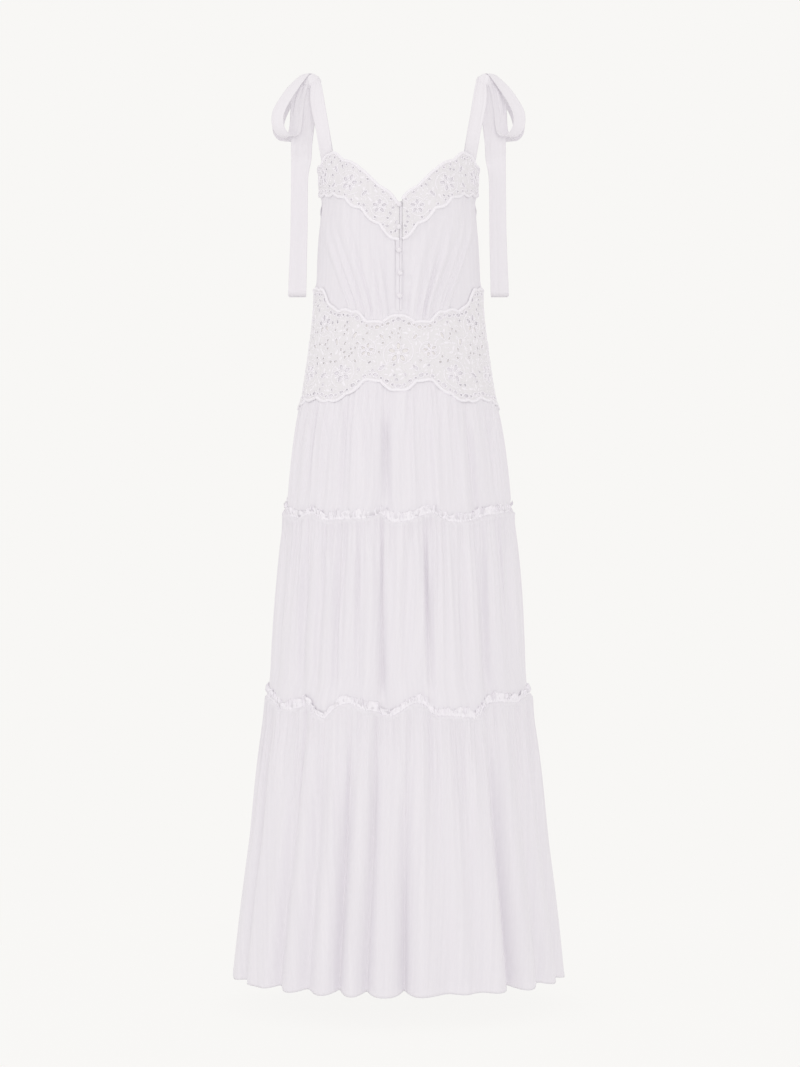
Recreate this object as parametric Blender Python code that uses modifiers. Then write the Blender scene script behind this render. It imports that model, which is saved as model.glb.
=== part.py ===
"""White maxi dress with tied shoulders, an eyelet lace bust trim and waist band, and a three-tier skirt.

Run it with: blender --background --python part.py

Units are metres and +Z is up. The front faces -Y, and the wearer's left is +X. The dress keeps the hollow
form that it has when worn, with nobody in it. The origin is midway between the shoulders, at the height
where its ties rest on them. Angles go round the body: 0 at the centre front, 90 at the wearer's left side,
180 at the centre back.
"""

import math
import random
from collections import namedtuple

import bmesh
import bpy
from mathutils import Vector
from mathutils.geometry import delaunay_2d_cdt

MM = 0.001

# Columns of the tables. Heights, widths, depths and distances are in metres but for those that say mm.
Section = namedtuple("Section", "height half_width front_depth back_depth")
Fold = namedtuple("Fold", "top_angle bottom_angle top_mm middle_mm bottom_mm width pinch")
Wave = namedtuple("Wave", "angle depth_mm width drop_mm")
Edge = namedtuple("Edge", "angle height")
Motif = namedtuple("Motif", "across height size turn")
Arc = namedtuple("Arc", "across angle")
Tie = namedtuple("Tie", "x y z width turn")
Loop = namedtuple("Loop", "reach z width")


def table(kind, *rows):
    return [kind(*row) for row in rows]


# Thickness of the cloth, and the gaps between pieces
CLOTH = 1.2 * MM
RIBBON = 1.0 * MM
LACE = 1.3 * MM
SEAM_GAP = 0.6 * MM
SIDE_GAP_ANGLE = 0.12  # degrees from the side seam to each piece that ends at it

# How far each layer's inner face stands out from the body's surface
BUST_LACE_OUT = 4.6 * MM
WAIST_LACE_OUT = 4.2 * MM
PLACKET_OUT = 1.7 * MM
FRILL_OUT = 3.6 * MM

# Heights of the seams and the hem
WAIST_Z = -0.425
HIP_Z = -0.490
FIRST_SEAM_Z = -0.731
SECOND_SEAM_Z = -1.046
HEM_Z = -1.522
# How much lower a seam hangs at the centre front than at the sides
FIRST_SEAM_DIP = 10 * MM
SECOND_SEAM_DIP = 16 * MM

SECTIONS = table(
    Section,
    (-0.125, 0.1320, 0.0900, 0.0900),
    (-0.180, 0.1310, 0.1080, 0.0980),
    (-0.218, 0.1290, 0.1130, 0.1000),
    (-0.275, 0.1345, 0.1120, 0.0960),
    (-0.350, 0.1385, 0.1050, 0.0930),
    (-0.408, 0.1415, 0.1030, 0.0950),
    (-0.490, 0.1520, 0.1130, 0.1120),
    (-0.537, 0.1595, 0.1215, 0.1245),
    (-0.571, 0.1675, 0.1290, 0.1330),
    (-0.612, 0.1745, 0.1360, 0.1410),
    (-0.673, 0.1820, 0.1440, 0.1480),
    (-0.719, 0.1865, 0.1490, 0.1510),
    (-0.755, 0.1930, 0.1540, 0.1560),
    (-0.796, 0.1985, 0.1590, 0.1600),
    (-0.877, 0.2055, 0.1660, 0.1670),
    (-0.959, 0.2110, 0.1710, 0.1720),
    (-1.020, 0.2150, 0.1750, 0.1760),
    (-1.047, 0.2205, 0.1780, 0.1790),
    (-1.102, 0.2285, 0.1830, 0.1840),
    (-1.183, 0.2390, 0.1890, 0.1900),
    (-1.285, 0.2510, 0.1950, 0.1960),
    (-1.387, 0.2645, 0.2010, 0.2020),
    (-1.489, 0.2765, 0.2060, 0.2070),
    (-1.530, 0.2805, 0.2080, 0.2090),
)

# Fullness that the cut gives the bust on each side of the centre front
CUP_ANGLE = 36.0
CUP_WIDTH = 19.0
CUP_Z = -0.232
CUP_HEIGHT = 0.045
CUP_OUT = 9 * MM

# The skirt's folds. Angles are in degrees at the top and the bottom of the tier, depths in mm at its top,
# middle and bottom, and pinch is how far the two sides of a fold lean over it.
FIRST_TIER_FRONT = table(
    Fold,
    (-68, -70, 0.6, 3.0, 2.0, 5.5, 0.2),
    (-53, -55, 0.8, 3.5, 2.5, 5.0, 0.2),
    (-40, -43, 0.8, 3.0, 2.0, 4.5, 0.2),
    (-28, -30, 0.8, 3.5, 2.5, 4.0, 0.3),
    (-17, -17, 0.8, 4.0, 3.0, 4.0, 0.3),
    (-8, -6, 1.0, 7.0, 4.0, 4.0, 0.6),
    (4, 3, 0.8, 3.5, 2.5, 3.8, 0.3),
    (14, 15, 0.8, 3.5, 3.0, 4.2, 0.3),
    (29, 30, 0.8, 3.0, 2.5, 4.8, 0.2),
    (42, 43, 0.8, 6.0, 4.0, 4.8, 0.5),
    (58, 60, 0.8, 3.5, 2.5, 5.5, 0.2),
)
SECOND_TIER_FRONT = table(
    Fold,
    (-66, -68, 1.5, 5.0, 4.0, 6.0, 0.3),
    (-49, -51, 1.5, 7.0, 6.0, 5.0, 0.4),
    (-38, -39, 1.5, 6.0, 5.0, 4.0, 0.4),
    (-28, -29, 2.5, 11.0, 8.0, 4.0, 0.7),
    (-19, -18, 2.5, 6.0, 4.0, 3.6, 0.4),
    (-8, -7, 2.0, 11.0, 12.0, 4.2, 0.8),
    (3, 3, 1.5, 5.0, 4.0, 3.6, 0.3),
    (13, 15, 3.5, 13.0, 6.0, 4.2, 0.9),
    (29, 31, 1.5, 6.0, 5.0, 4.8, 0.4),
    (42, 44, 2.5, 10.0, 8.0, 5.0, 0.7),
    (60, 62, 1.5, 6.0, 5.0, 6.0, 0.3),
)
THIRD_TIER_FRONT = table(
    Fold,
    (-68, -68, 2.0, 7.0, 9.0, 6.5, 0.3),
    (-45, -46, 4.0, 13.0, 17.0, 5.0, 0.6),
    (-32, -33, 2.5, 9.0, 14.0, 4.6, 0.5),
    (-20, -21, 4.0, 16.0, 24.0, 4.4, 0.9),
    (-9, -11, 3.0, 12.0, 20.0, 3.8, 0.8),
    (3, 2, 4.5, 18.0, 34.0, 4.4, 0.9),
    (15, 17, 2.0, 6.0, 5.0, 5.0, 0.3),
    (27, 29, 2.0, 6.0, 5.0, 5.0, 0.3),
    (41, 42, 3.0, 17.0, 38.0, 5.6, 0.9),
    (56, 58, 2.0, 8.0, 12.0, 5.6, 0.4),
    (72, 74, 2.0, 6.0, 8.0, 6.0, 0.3),
)
BACK_FOLD_WIDTH = 5.2
BACK_FOLD_SHIFT = 2.5  # degrees that a fold at the back may lie away from an even spacing
BACK_FOLD_LEAN = 2.0  # degrees that its bottom may lie away from its top
FOLD_ZERO = 0.79  # share of a fold's width where its valley turns into the crest beside it
FOLD_REACH = 3  # widths past which a fold no longer moves the cloth
SEGMENTS_PER_FOLD = 4
TIER_LEVELS = {"first": (0, 0.24, 0.58, 1), "second": (0, 0.3, 0.68, 1), "third": (0, 0.22, 0.5, 0.75, 1)}
FLAT_UNDER_LACE = 0.20  # share of the first tier's height that the waist lace holds flat
FOLDS_OPEN = 0.25  # share of a tier's height in which its folds open out below a seam
FOLDS_CLOSE = 0.8  # share of a tier's height at which the seam below starts to flatten its folds
FOLDS_HELD = 0.75  # how much of the folds the seam below flattens

# The seams' own slow waves: angle, depth in mm, width in degrees, and drop in mm
FIRST_SEAM_WAVES = table(
    Wave,
    (-62, 2.5, 9, 3),
    (-30, 3.0, 9, 3),
    (-8, 5.0, 8, -6),
    (13, 4.0, 8, -3),
    (43, 5.0, 9, -4),
    (150, 4.0, 9, -3),
    (195, 5.0, 9, 3),
    (240, 4.0, 9, -3),
)
SECOND_SEAM_WAVES = table(
    Wave,
    (-47, 6.0, 9, -7),
    (-21, 4.0, 8, -6),
    (-6, 7.0, 8, 4),
    (10, 4.0, 8, -7),
    (43, 7.0, 9, -9),
    (132, 6.0, 10, -5),
    (168, 6.0, 9, 5),
    (204, 4.0, 12, -5),
    (238, 6.0, 11, 4),
)

# Frills that stand up on the two tier seams
FRILL_WAVES = 14
FRILL_HEIGHT = 13 * MM
FRILL_BELOW = 1.5 * MM
FRILL_FLARE = 2.6 * MM
FRILL_WAVE = 2.4 * MM
SEGMENTS_PER_WAVE = 3

# Edges of the lace: angle from the centre, and height. Each is mirrored at the centre front.
NECK_EDGE = table(
    Edge,
    (0, -0.2270),
    (5, -0.2130),
    (13, -0.1970),
    (20, -0.1835),
    (28, -0.1640),
    (35, -0.1555),
    (43, -0.1467),
    (54, -0.1340),
    (62, -0.1370),
    (74, -0.1500),
    (90, -0.1560),
)
BUST_LACE_LOWER_EDGE = table(
    Edge,
    (0, -0.2925),
    (7, -0.2810),
    (14, -0.2640),
    (20, -0.2530),
    (27, -0.2380),
    (33, -0.2300),
    (40, -0.2190),
    (46, -0.2130),
    (60, -0.2085),
    (90, -0.2010),
)
WAIST_LACE_UPPER_EDGE = table(
    Edge,
    (0, -0.4085),
    (10, -0.4190),
    (17, -0.4220),
    (23, -0.4160),
    (29, -0.4040),
    (38, -0.4005),
    (46, -0.3985),
    (53, -0.3900),
    (58, -0.3740),
    (64, -0.3630),
    (75, -0.3600),
    (90, -0.3600),
)
WAIST_LACE_LOWER_EDGE = table(
    Edge,
    (0, -0.5415),
    (5, -0.5360),
    (11, -0.5260),
    (18, -0.5205),
    (24, -0.5310),
    (30, -0.5430),
    (38, -0.5530),
    (45, -0.5560),
    (55, -0.5505),
    (66, -0.5520),
    (78, -0.5560),
    (90, -0.5630),
)
LACE_ABOVE_TOP = 4 * MM
SCALLOP_DEPTH = 2.6 * MM
BUST_SCALLOPS = 9
WAIST_SCALLOPS = 15
STEPS_PER_SCALLOP = 3

# Eyelet flowers and leaves on the lace: distance round from the centre, height, size and turn.
# Distances are measured round an oval of this half width and depth.
WAIST_OVAL = (0.150, 0.112)
BUST_OVAL = (0.134, 0.113)
WAIST_FLOWERS = table(
    Motif,
    (0.000, -0.4750, 1.25, 90),
    (0.052, -0.4700, 0.85, 30),
    (0.092, -0.5080, 1.10, 75),
    (0.140, -0.4230, 1.15, 10),
    (0.168, -0.5050, 1.10, 60),
)
WAIST_LEAVES = table(
    Motif,
    (0.027, -0.5000, 0.9, 140),
    (0.028, -0.4480, 0.8, 50),
    (0.075, -0.4450, 1.0, 120),
    (0.108, -0.4550, 1.0, 75),
    (0.129, -0.5100, 1.0, 150),
    (0.160, -0.4600, 0.9, 30),
    (0.190, -0.4000, 1.0, 95),
    (0.195, -0.4550, 1.0, 80),
)
BUST_FLOWERS = table(
    Motif,
    (0.031, -0.2330, 0.85, 20),
    (0.083, -0.1910, 1.05, 40),
    (0.150, -0.1750, 0.95, 10),
)
BUST_LEAVES = table(
    Motif,
    (0.056, -0.2110, 0.9, 135),
    (0.112, -0.1650, 0.9, 60),
    (0.118, -0.1920, 0.8, 150),
    (0.178, -0.1760, 0.9, 90),
)
PETALS = 5
PETAL_DISTANCE = 9.0 * MM
PETAL_LENGTH = 4.4 * MM
PETAL_WIDTH = 2.6 * MM
LEAF_LENGTH = 6.0 * MM
LEAF_WIDTH = 2.6 * MM
EDGE_EYELETS = 11
EDGE_EYELET_PITCH = 36 * MM
EDGE_EYELET_INSET = 10.5 * MM
EDGE_EYELET_LENGTH = 3.9 * MM
EDGE_EYELET_WIDTH = 2.7 * MM
PETAL_SIDES = 5
LEAF_SIDES = 6
EDGE_EYELET_SIDES = 4
# Points between the holes, which keep the lace's faces small: their pitch, and their distance from an edge
# and from the middle of a hole
WAIST_FILL_PITCH = 34 * MM
BUST_FILL_PITCH = 28 * MM
FILL_MARGIN = 5 * MM
FILL_CLEARANCE = 8 * MM

# Front opening
BUTTONS = 5
TOP_BUTTON_Z = -0.2298
BUTTON_PITCH = 0.0376
BUTTON_RADIUS = 4.2 * MM
BUTTON_HEIGHT = 2.6 * MM
BUTTON_CUT = 0.3  # share of the ball's radius at which its back is cut flat
BUTTON_GAP = 0.4 * MM
BUTTON_SEGMENTS = (10, 6)
PLACKET_LEFT = -4.8 * MM
PLACKET_RIGHT = 5.5 * MM
PLACKET_SHORT = 3 * MM  # how far it stops short of the neck and of the waist lace
PLACKET_ROWS = 8

# Gathers of the bodice
FRONT_GATHERS = 5
FRONT_GATHER_START = 12.0
FRONT_GATHER_END = 76.0
GATHER_PULL = 0.46  # how far the gathers are drawn in to the centre at the waist
FRONT_GATHER_DEPTH = 2.3 * MM
FRONT_LEVELS = (1.0, 0.85, 0.65, 0.42, 0.2, 0.0)  # shares of the height at which the front has a row
FRONT_SIDE_ANGLE = 83.0
BACK_GATHERS = 8
BACK_GATHER_DEPTH = 1.8 * MM
SEGMENTS_PER_GATHER = 3
BACK_LEVELS = (1.0, 0.965, 0.93, 0.82, 0.74, 0.66, 0.35, 0.0)
LINING_STEPS = 18
LINING_GAP = 0.1 * MM
BACK_NECK_DROP = 0.040
CASINGS = ((-0.166, 2.6 * MM), (-0.226, 2.2 * MM))  # height at the side seam, and how far it stands out
CASING_HEIGHT = 9 * MM

# Shoulder knot, centre and half sizes, on the wearer's left
KNOT = (0.1400, 0.0, 0.0040)
KNOT_SIZE = (0.0090, 0.0105, 0.0070)
KNOT_SQUARENESS = 0.55  # 0 for a ball, 1 for a block
KNOT_SEGMENTS = (10, 7)

# Ties on the wearer's left: a point on each one's middle line, its width, and how far its width is
# turned from the sides towards the back, in degrees. The ties behind the shoulder mirror those in front.
FRONT_STRAP = table(
    Tie,
    (0.1355, -0.0112, 0.0025, 0.0090, 0),
    (0.1378, -0.0270, -0.0190, 0.0160, 6),
    (0.1350, -0.0420, -0.0500, 0.0210, 11),
    (0.1275, -0.0480, -0.0950, 0.0235, 17),
    (0.1237, -0.0480, -0.1180, 0.0240, 22),
)
FRONT_TAIL = table(
    Tie,
    (0.1415, -0.0045, -0.0036, 0.0070, 0),
    (0.1490, -0.0050, -0.0140, 0.0160, 0),
    (0.1560, -0.0052, -0.0340, 0.0260, 3),
    (0.1615, -0.0050, -0.0650, 0.0330, 5),
    (0.1644, -0.0048, -0.1138, 0.0356, 5),
    (0.1650, -0.0050, -0.1400, 0.0345, 4),
    (0.1678, -0.0055, -0.1748, 0.0290, 2),
    (0.1690, -0.0070, -0.2700, 0.0290, 0),
    (0.1720, -0.0085, -0.3715, 0.0310, 0),
)
FRONT_FOOT = (57, 76)  # angles between which the strap is sewn to the bodice
BACK_FOOT = (123, 104)
STRAP_STEPS = 3
FOOT_GAP = 1.0 * MM
STRAP_ROWS = 7
TAIL_STEPS = 2
TAIL_ROWS = 8

# The bow's front loop hangs in an upright plane that heads out from the knot and a little forward
LOOP_START = (0.1496, -0.0055)
LOOP_HEADING = 35.0
LOOP = table(
    Loop,
    (0.0000, 0.0065, 0.0080),
    (0.0102, 0.0055, 0.0140),
    (0.0224, -0.0060, 0.0200),
    (0.0346, -0.0230, 0.0260),
    (0.0480, -0.0430, 0.0300),
    (0.0596, -0.0615, 0.0330),
    (0.0663, -0.0760, 0.0330),
    (0.0639, -0.0900, 0.0330),
    (0.0529, -0.1030, 0.0330),
    (0.0420, -0.1065, 0.0320),
    (0.0328, -0.0980, 0.0320),
    (0.0304, -0.0750, 0.0300),
    (0.0298, -0.0450, 0.0260),
    (0.0237, -0.0200, 0.0200),
    (0.0127, -0.0040, 0.0140),
    (0.0000, 0.0015, 0.0080),
)
LOOP_STEPS = 2
LOOP_ROWS = 15

WHITE = (0.86, 0.85, 0.86, 1.0)
IVORY = (0.84, 0.83, 0.80, 1.0)


# Smooth tables


def lerp(low, high, share):
    return low + (high - low) * share


def smooth(share):
    share = min(max(share, 0.0), 1.0)
    return share * share * (3 - 2 * share)


def through(keys, values, at):
    """A value at a place among the keys, on a smooth curve through the values."""
    step = 1 if keys[-1] > keys[0] else -1
    i = 0
    while i < len(keys) - 2 and (at - keys[i + 1]) * step > 0:
        i += 1
    width = keys[i + 1] - keys[i]
    share = min(max((at - keys[i]) / width, 0.0), 1.0)

    def slope(k):
        low, high = max(k - 1, 0), min(k + 1, len(keys) - 1)
        return (values[high] - values[low]) / (keys[high] - keys[low])

    square, cube = share * share, share**3
    return (
        (2 * cube - 3 * square + 1) * values[i]
        + (cube - 2 * square + share) * width * slope(i)
        + (3 * square - 2 * cube) * values[i + 1]
        + (cube - square) * width * slope(i + 1)
    )


def read(rows, at, column):
    """A column of a table at a place in its first column."""
    return through([row[0] for row in rows], [getattr(row, column) for row in rows], at)


# The body's surface


def cup(angle, z):
    around = math.exp(-(((abs(angle) - CUP_ANGLE) / CUP_WIDTH) ** 2))
    return CUP_OUT * around * math.exp(-(((z - CUP_Z) / CUP_HEIGHT) ** 2))


def body_point(angle, z, out=0.0, along=0.0):
    """A point on the garment's surface, moved out from it and along it to the wearer's left."""
    t = math.radians(angle)
    half = read(SECTIONS, z, "half_width")
    depth = read(SECTIONS, z, "front_depth" if math.cos(t) >= 0 else "back_depth")
    outward = Vector((depth * math.sin(t), -half * math.cos(t), 0)).normalized()
    onward = Vector((-outward.y, outward.x, 0))
    place = Vector((half * math.sin(t), -depth * math.cos(t), z))
    if math.cos(t) > 0:
        out += cup(angle, z)
    return place + out * outward + along * onward


# Folds


def valley(x):
    """A fold across its width: -1 at its bottom, above 0 beside it."""
    return -(1 - (x / FOLD_ZERO) ** 2) * math.exp(-1.2 * x * x)


def fold_offset(folds, angle, v):
    """How far out and along the folds move a point, v from 0 at the tier's top to 1 at its bottom."""
    out = along = 0.0
    for fold in folds:
        x = (angle - lerp(fold.top_angle, fold.bottom_angle, v)) / fold.width
        if abs(x) > FOLD_REACH:
            continue
        if v < 0.5:
            depth = lerp(fold.top_mm, fold.middle_mm, smooth(2 * v)) * MM
        else:
            depth = lerp(fold.middle_mm, fold.bottom_mm, 2 * v - 1) * MM
        out += depth * valley(x)
        along -= fold.pinch * depth * x * math.exp(-x * x)
    return out, along


def seam_offset(waves, angle):
    """How far out and down a seam's slow waves move a point on it."""
    out = drop = 0.0
    for wave in waves:
        x = ((angle - wave.angle + 180) % 360 - 180) / wave.width
        if abs(x) < FOLD_REACH:
            out += wave.depth_mm * MM * valley(x)
            drop += wave.drop_mm * MM * math.exp(-x * x)
    return out, drop


def back_folds(tier_folds, seed):
    """Folds for the back of a tier, as many and as deep as at the front, spaced a little unevenly."""
    chance = random.Random(seed)
    pitch = 180 / (len(tier_folds) + 1)
    likes = list(tier_folds)
    chance.shuffle(likes)
    made = []
    for i, like in enumerate(likes):
        angle = 90 + pitch * (i + 1) + chance.uniform(-BACK_FOLD_SHIFT, BACK_FOLD_SHIFT)
        lower = angle + chance.uniform(-BACK_FOLD_LEAN, BACK_FOLD_LEAN)
        made.append(like._replace(top_angle=angle, bottom_angle=lower, width=BACK_FOLD_WIDTH))
    return made


TIERS = {
    "first": {"front": FIRST_TIER_FRONT, "back": back_folds(FIRST_TIER_FRONT, 11)},
    "second": {"front": SECOND_TIER_FRONT, "back": back_folds(SECOND_TIER_FRONT, 12)},
    "third": {"front": THIRD_TIER_FRONT, "back": back_folds(THIRD_TIER_FRONT, 13)},
}


def seam_height(z, dip, waves, angle):
    level = z - dip * max(math.cos(math.radians(angle)), 0) ** 2
    return level - seam_offset(waves, angle)[1]


def tier_ends(tier, angle):
    """Height, and how far out, of a tier's top and bottom edges at an angle."""
    first = (seam_height(FIRST_SEAM_Z, FIRST_SEAM_DIP, FIRST_SEAM_WAVES, angle),
             seam_offset(FIRST_SEAM_WAVES, angle)[0])
    second = (seam_height(SECOND_SEAM_Z, SECOND_SEAM_DIP, SECOND_SEAM_WAVES, angle),
              seam_offset(SECOND_SEAM_WAVES, angle)[0])
    if tier == "first":
        return (HIP_Z, 0.0), first
    if tier == "second":
        return first, second
    return second, (HEM_Z, 0.0)


def tier_point(tier, angle, v, out=0.0, lower=0.0):
    """A point of a tier's inner face, v from 0 at its top to 1 at its bottom, moved out and down."""
    (top_z, top_out), (bottom_z, bottom_out) = tier_ends(tier, angle)
    side = "front" if abs((angle + 180) % 360 - 180) <= 90 else "back"
    fold_out, along = fold_offset(TIERS[tier][side], angle, v)
    near_top = smooth((v - FLAT_UNDER_LACE) / 0.3) if tier == "first" else smooth(v / FOLDS_OPEN)
    near_bottom = 1.0 if tier == "third" else 1 - FOLDS_HELD * smooth((v - FOLDS_CLOSE) / (1 - FOLDS_CLOSE))
    share = near_top * near_bottom
    z = lerp(top_z, bottom_z, v) - lower
    return body_point(angle, z, out + lerp(top_out, bottom_out, v) + share * fold_out, share * along)


# Making meshes


def collection_named(name):
    made = bpy.data.collections.new(name)
    bpy.context.scene.collection.children.link(made)
    return made


def material_named(name, colour, roughness):
    made = bpy.data.materials.new(name)
    made.use_nodes = True
    shader = made.node_tree.nodes["Principled BSDF"]
    shader.inputs["Base Color"].default_value = colour
    shader.inputs["Roughness"].default_value = roughness
    shader.inputs["Metallic"].default_value = 0.0
    return made


def object_from(mesh_data, name, collection, material):
    mesh = bpy.data.meshes.new(name)
    mesh_data.to_mesh(mesh)
    mesh_data.free()
    mesh.materials.append(material)
    mesh.shade_smooth()
    made = bpy.data.objects.new(name, mesh)
    collection.objects.link(made)
    return made


def thicken(made, thickness):
    """Solidify outwards from the surface that was modelled, which is the cloth's inner face."""
    wall = made.modifiers.new("Wall", "SOLIDIFY")
    wall.thickness = thickness
    wall.offset = 1.0
    wall.use_even_offset = False
    return made


def loft(rows, name, collection, material, thickness):
    """A wall through rows of points. Rows run down, and points along a row run to the wearer's left."""
    mesh_data = bmesh.new()
    grid = [[mesh_data.verts.new(point) for point in row] for row in rows]
    for upper, lower in zip(grid, grid[1:]):
        for i in range(len(upper) - 1):
            mesh_data.faces.new((upper[i], lower[i], lower[i + 1], upper[i + 1]))
    return thicken(object_from(mesh_data, name, collection, material), thickness)


# The skirt


def fold_columns(folds, first_angle, last_angle, v):
    """Angles of a tier's columns at a height: at each fold, and evenly between one fold and the next."""
    marks = [first_angle]
    marks += [lerp(fold.top_angle, fold.bottom_angle, v) for fold in folds]
    marks += [last_angle]
    angles = []
    for low, high in zip(marks, marks[1:]):
        angles += [lerp(low, high, k / SEGMENTS_PER_FOLD) for k in range(SEGMENTS_PER_FOLD)]
    return angles + [last_angle]


def half_ends(side):
    """First and last angle of a front or back piece, short of the side seams by half a gap."""
    end = 90 - SIDE_GAP_ANGLE
    return (-end, end) if side == "front" else (180 - end, 180 + end)


def make_tier(tier, side, collection, material):
    rows = []
    for v in TIER_LEVELS[tier]:
        lower = SEAM_GAP if v == 0 else 0.0
        angles = fold_columns(TIERS[tier][side], *half_ends(side), v)
        rows.append([tier_point(tier, angle, v, lower=lower) for angle in angles])
    return loft(rows, f"{tier}_tier_{side}", collection, material, CLOTH)


def make_frill(tier, name, side, collection, material):
    """The gathered heading that stands up on a tier's bottom seam, outside the cloth."""
    first_angle, last_angle = half_ends(side)
    columns = FRILL_WAVES * SEGMENTS_PER_WAVE
    top, bottom = [], []
    for i in range(columns + 1):
        angle = lerp(first_angle, last_angle, i / columns)
        (top_z, _), (bottom_z, _) = tier_ends(tier, angle)
        wave = math.sin(2 * math.pi * i / SEGMENTS_PER_WAVE)
        v = 1 - FRILL_HEIGHT / (top_z - bottom_z)
        flare = FRILL_FLARE + FRILL_WAVE * wave
        top.append(tier_point(tier, angle, v, out=FRILL_OUT + flare))
        bottom.append(tier_point(tier, angle, 1.0, out=FRILL_OUT, lower=FRILL_BELOW))
    return loft([top, bottom], f"{name}_frill_{side}", collection, material, CLOTH)


# The bodice


def front_top(angle):
    """Height of the front's top edge, just below the lace's scallops."""
    return read(NECK_EDGE, angle, "height") - LACE_ABOVE_TOP


def make_bodice_front(side, collection, material):
    """Half of the front. Its gathers start spread out under the bust and are drawn in at the waist."""
    sign = 1 if side == "left" else -1
    spread = FRONT_GATHER_END - FRONT_GATHER_START
    columns = [SIDE_GAP_ANGLE, FRONT_GATHER_START / 2]
    gather_steps = FRONT_GATHERS * SEGMENTS_PER_FOLD
    columns += [FRONT_GATHER_START + spread * k / gather_steps for k in range(gather_steps + 1)]
    columns += [FRONT_SIDE_ANGLE, 90 - SIDE_GAP_ANGLE]
    rows = []
    for h in FRONT_LEVELS:
        pull = lerp(GATHER_PULL, 1.0, smooth(h / 0.75))
        depth = FRONT_GATHER_DEPTH * lerp(0.35, 1.0, smooth(h / 0.4)) * (1 - smooth((h - 0.4) / 0.3))
        row = []
        for q in columns:
            if q <= FRONT_GATHER_END:
                angle = q * pull
            else:
                share = (q - FRONT_GATHER_END) / (90 - FRONT_GATHER_END)
                angle = lerp(FRONT_GATHER_END * pull, 90, share)
            phase = (q - FRONT_GATHER_START) / spread * FRONT_GATHERS
            inside = 0 < phase < FRONT_GATHERS
            out = depth * 0.5 * (1 - math.cos(2 * math.pi * phase)) if inside else 0.0
            top = front_top(angle)
            row.append(body_point(sign * angle, lerp(WAIST_Z, top, h), out=out - 0.5 * depth))
        rows.append(row if sign > 0 else row[::-1])
    return loft(rows, f"bodice_front_{side}", collection, material, CLOTH)


def back_top(angle):
    """Height of the back's top edge: level with the front at the sides, lower at the centre."""
    return NECK_EDGE[-1].height - BACK_NECK_DROP * abs(math.cos(math.radians(angle))) ** 1.5


def make_bodice_back(collection, material):
    """The back, with two elastic casings across it that stand out as soft ridges."""
    first_angle, last_angle = half_ends("back")
    steps = BACK_GATHERS * SEGMENTS_PER_GATHER
    rows = []
    for h in BACK_LEVELS:
        row = []
        for i in range(steps + 1):
            angle = lerp(first_angle, last_angle, i / steps)
            top = back_top(angle)
            z = lerp(WAIST_Z, top, h)
            level = lerp(WAIST_Z, NECK_EDGE[-1].height, h)
            ridge = sum(out * math.exp(-(((level - at) / CASING_HEIGHT) ** 2)) for at, out in CASINGS)
            gather = BACK_GATHER_DEPTH * math.sin(2 * math.pi * i / SEGMENTS_PER_GATHER)
            share = smooth((h - 0.2) / 0.3) * math.sin(math.pi * i / steps)
            row.append(body_point(angle, z, out=ridge + share * gather))
        rows.append(row)
    return loft(rows, "bodice_back", collection, material, CLOTH)


def make_lining(side, collection, material):
    """The plain band behind the waist lace, which shows through its eyelets."""
    first_angle, last_angle = half_ends(side)
    angles = [lerp(first_angle, last_angle, i / LINING_STEPS) for i in range(LINING_STEPS + 1)]
    rows = [[body_point(angle, z) for angle in angles] for z in (WAIST_Z - SEAM_GAP, HIP_Z + LINING_GAP)]
    return loft(rows, f"waist_lining_{side}", collection, material, CLOTH)


# Lace


def eyelet(across, height, length, width, turn, sides):
    """A pointed oval hole as a ring of points."""
    t = math.radians(turn)
    ring = []
    for k in range(sides):
        a = 2 * math.pi * (k + 0.5 * (sides % 2)) / sides
        u, w = length * math.cos(a), width * math.sin(a)
        x = across + u * math.cos(t) - w * math.sin(t)
        ring.append((x, height + u * math.sin(t) + w * math.cos(t)))
    return ring


def flower_eyelets(across, height, size, turn):
    """Petal-shaped holes round a flower's middle."""
    holes = []
    for k in range(PETALS):
        toward = turn + 360 * k / PETALS
        a = math.radians(toward)
        reach = PETAL_DISTANCE * size
        holes.append(
            eyelet(
                across + reach * math.cos(a),
                height + reach * math.sin(a),
                PETAL_LENGTH * size,
                PETAL_WIDTH * size,
                toward,
                PETAL_SIDES,
            )
        )
    return holes


def motif_eyelets(flowers, leaves):
    holes = []
    for flower in flowers:
        holes += flower_eyelets(*flower)
    for across, height, size, turn in leaves:
        holes.append(eyelet(across, height, LEAF_LENGTH * size, LEAF_WIDTH * size, turn, LEAF_SIDES))
    return holes


def mirrored(motifs):
    """The motifs of a table on both sides of the centre. One at the centre stays single."""
    others = [m._replace(across=-m.across, turn=180 - m.turn) for m in motifs if m.across]
    return [*motifs, *others]


def edge_eyelets(edge, inset):
    """Oval holes along an edge, a set distance above it, or below it where the distance is negative."""
    holes = []
    for k in range(EDGE_EYELETS):
        across = (k - (EDGE_EYELETS - 1) / 2) * EDGE_EYELET_PITCH
        rise = edge(across + EDGE_EYELET_LENGTH) - edge(across - EDGE_EYELET_LENGTH)
        turn = math.degrees(math.atan2(rise, 2 * EDGE_EYELET_LENGTH))
        size = (EDGE_EYELET_LENGTH, EDGE_EYELET_WIDTH)
        holes.append(eyelet(across, edge(across) + inset, *size, turn, EDGE_EYELET_SIDES))
    return holes


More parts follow.
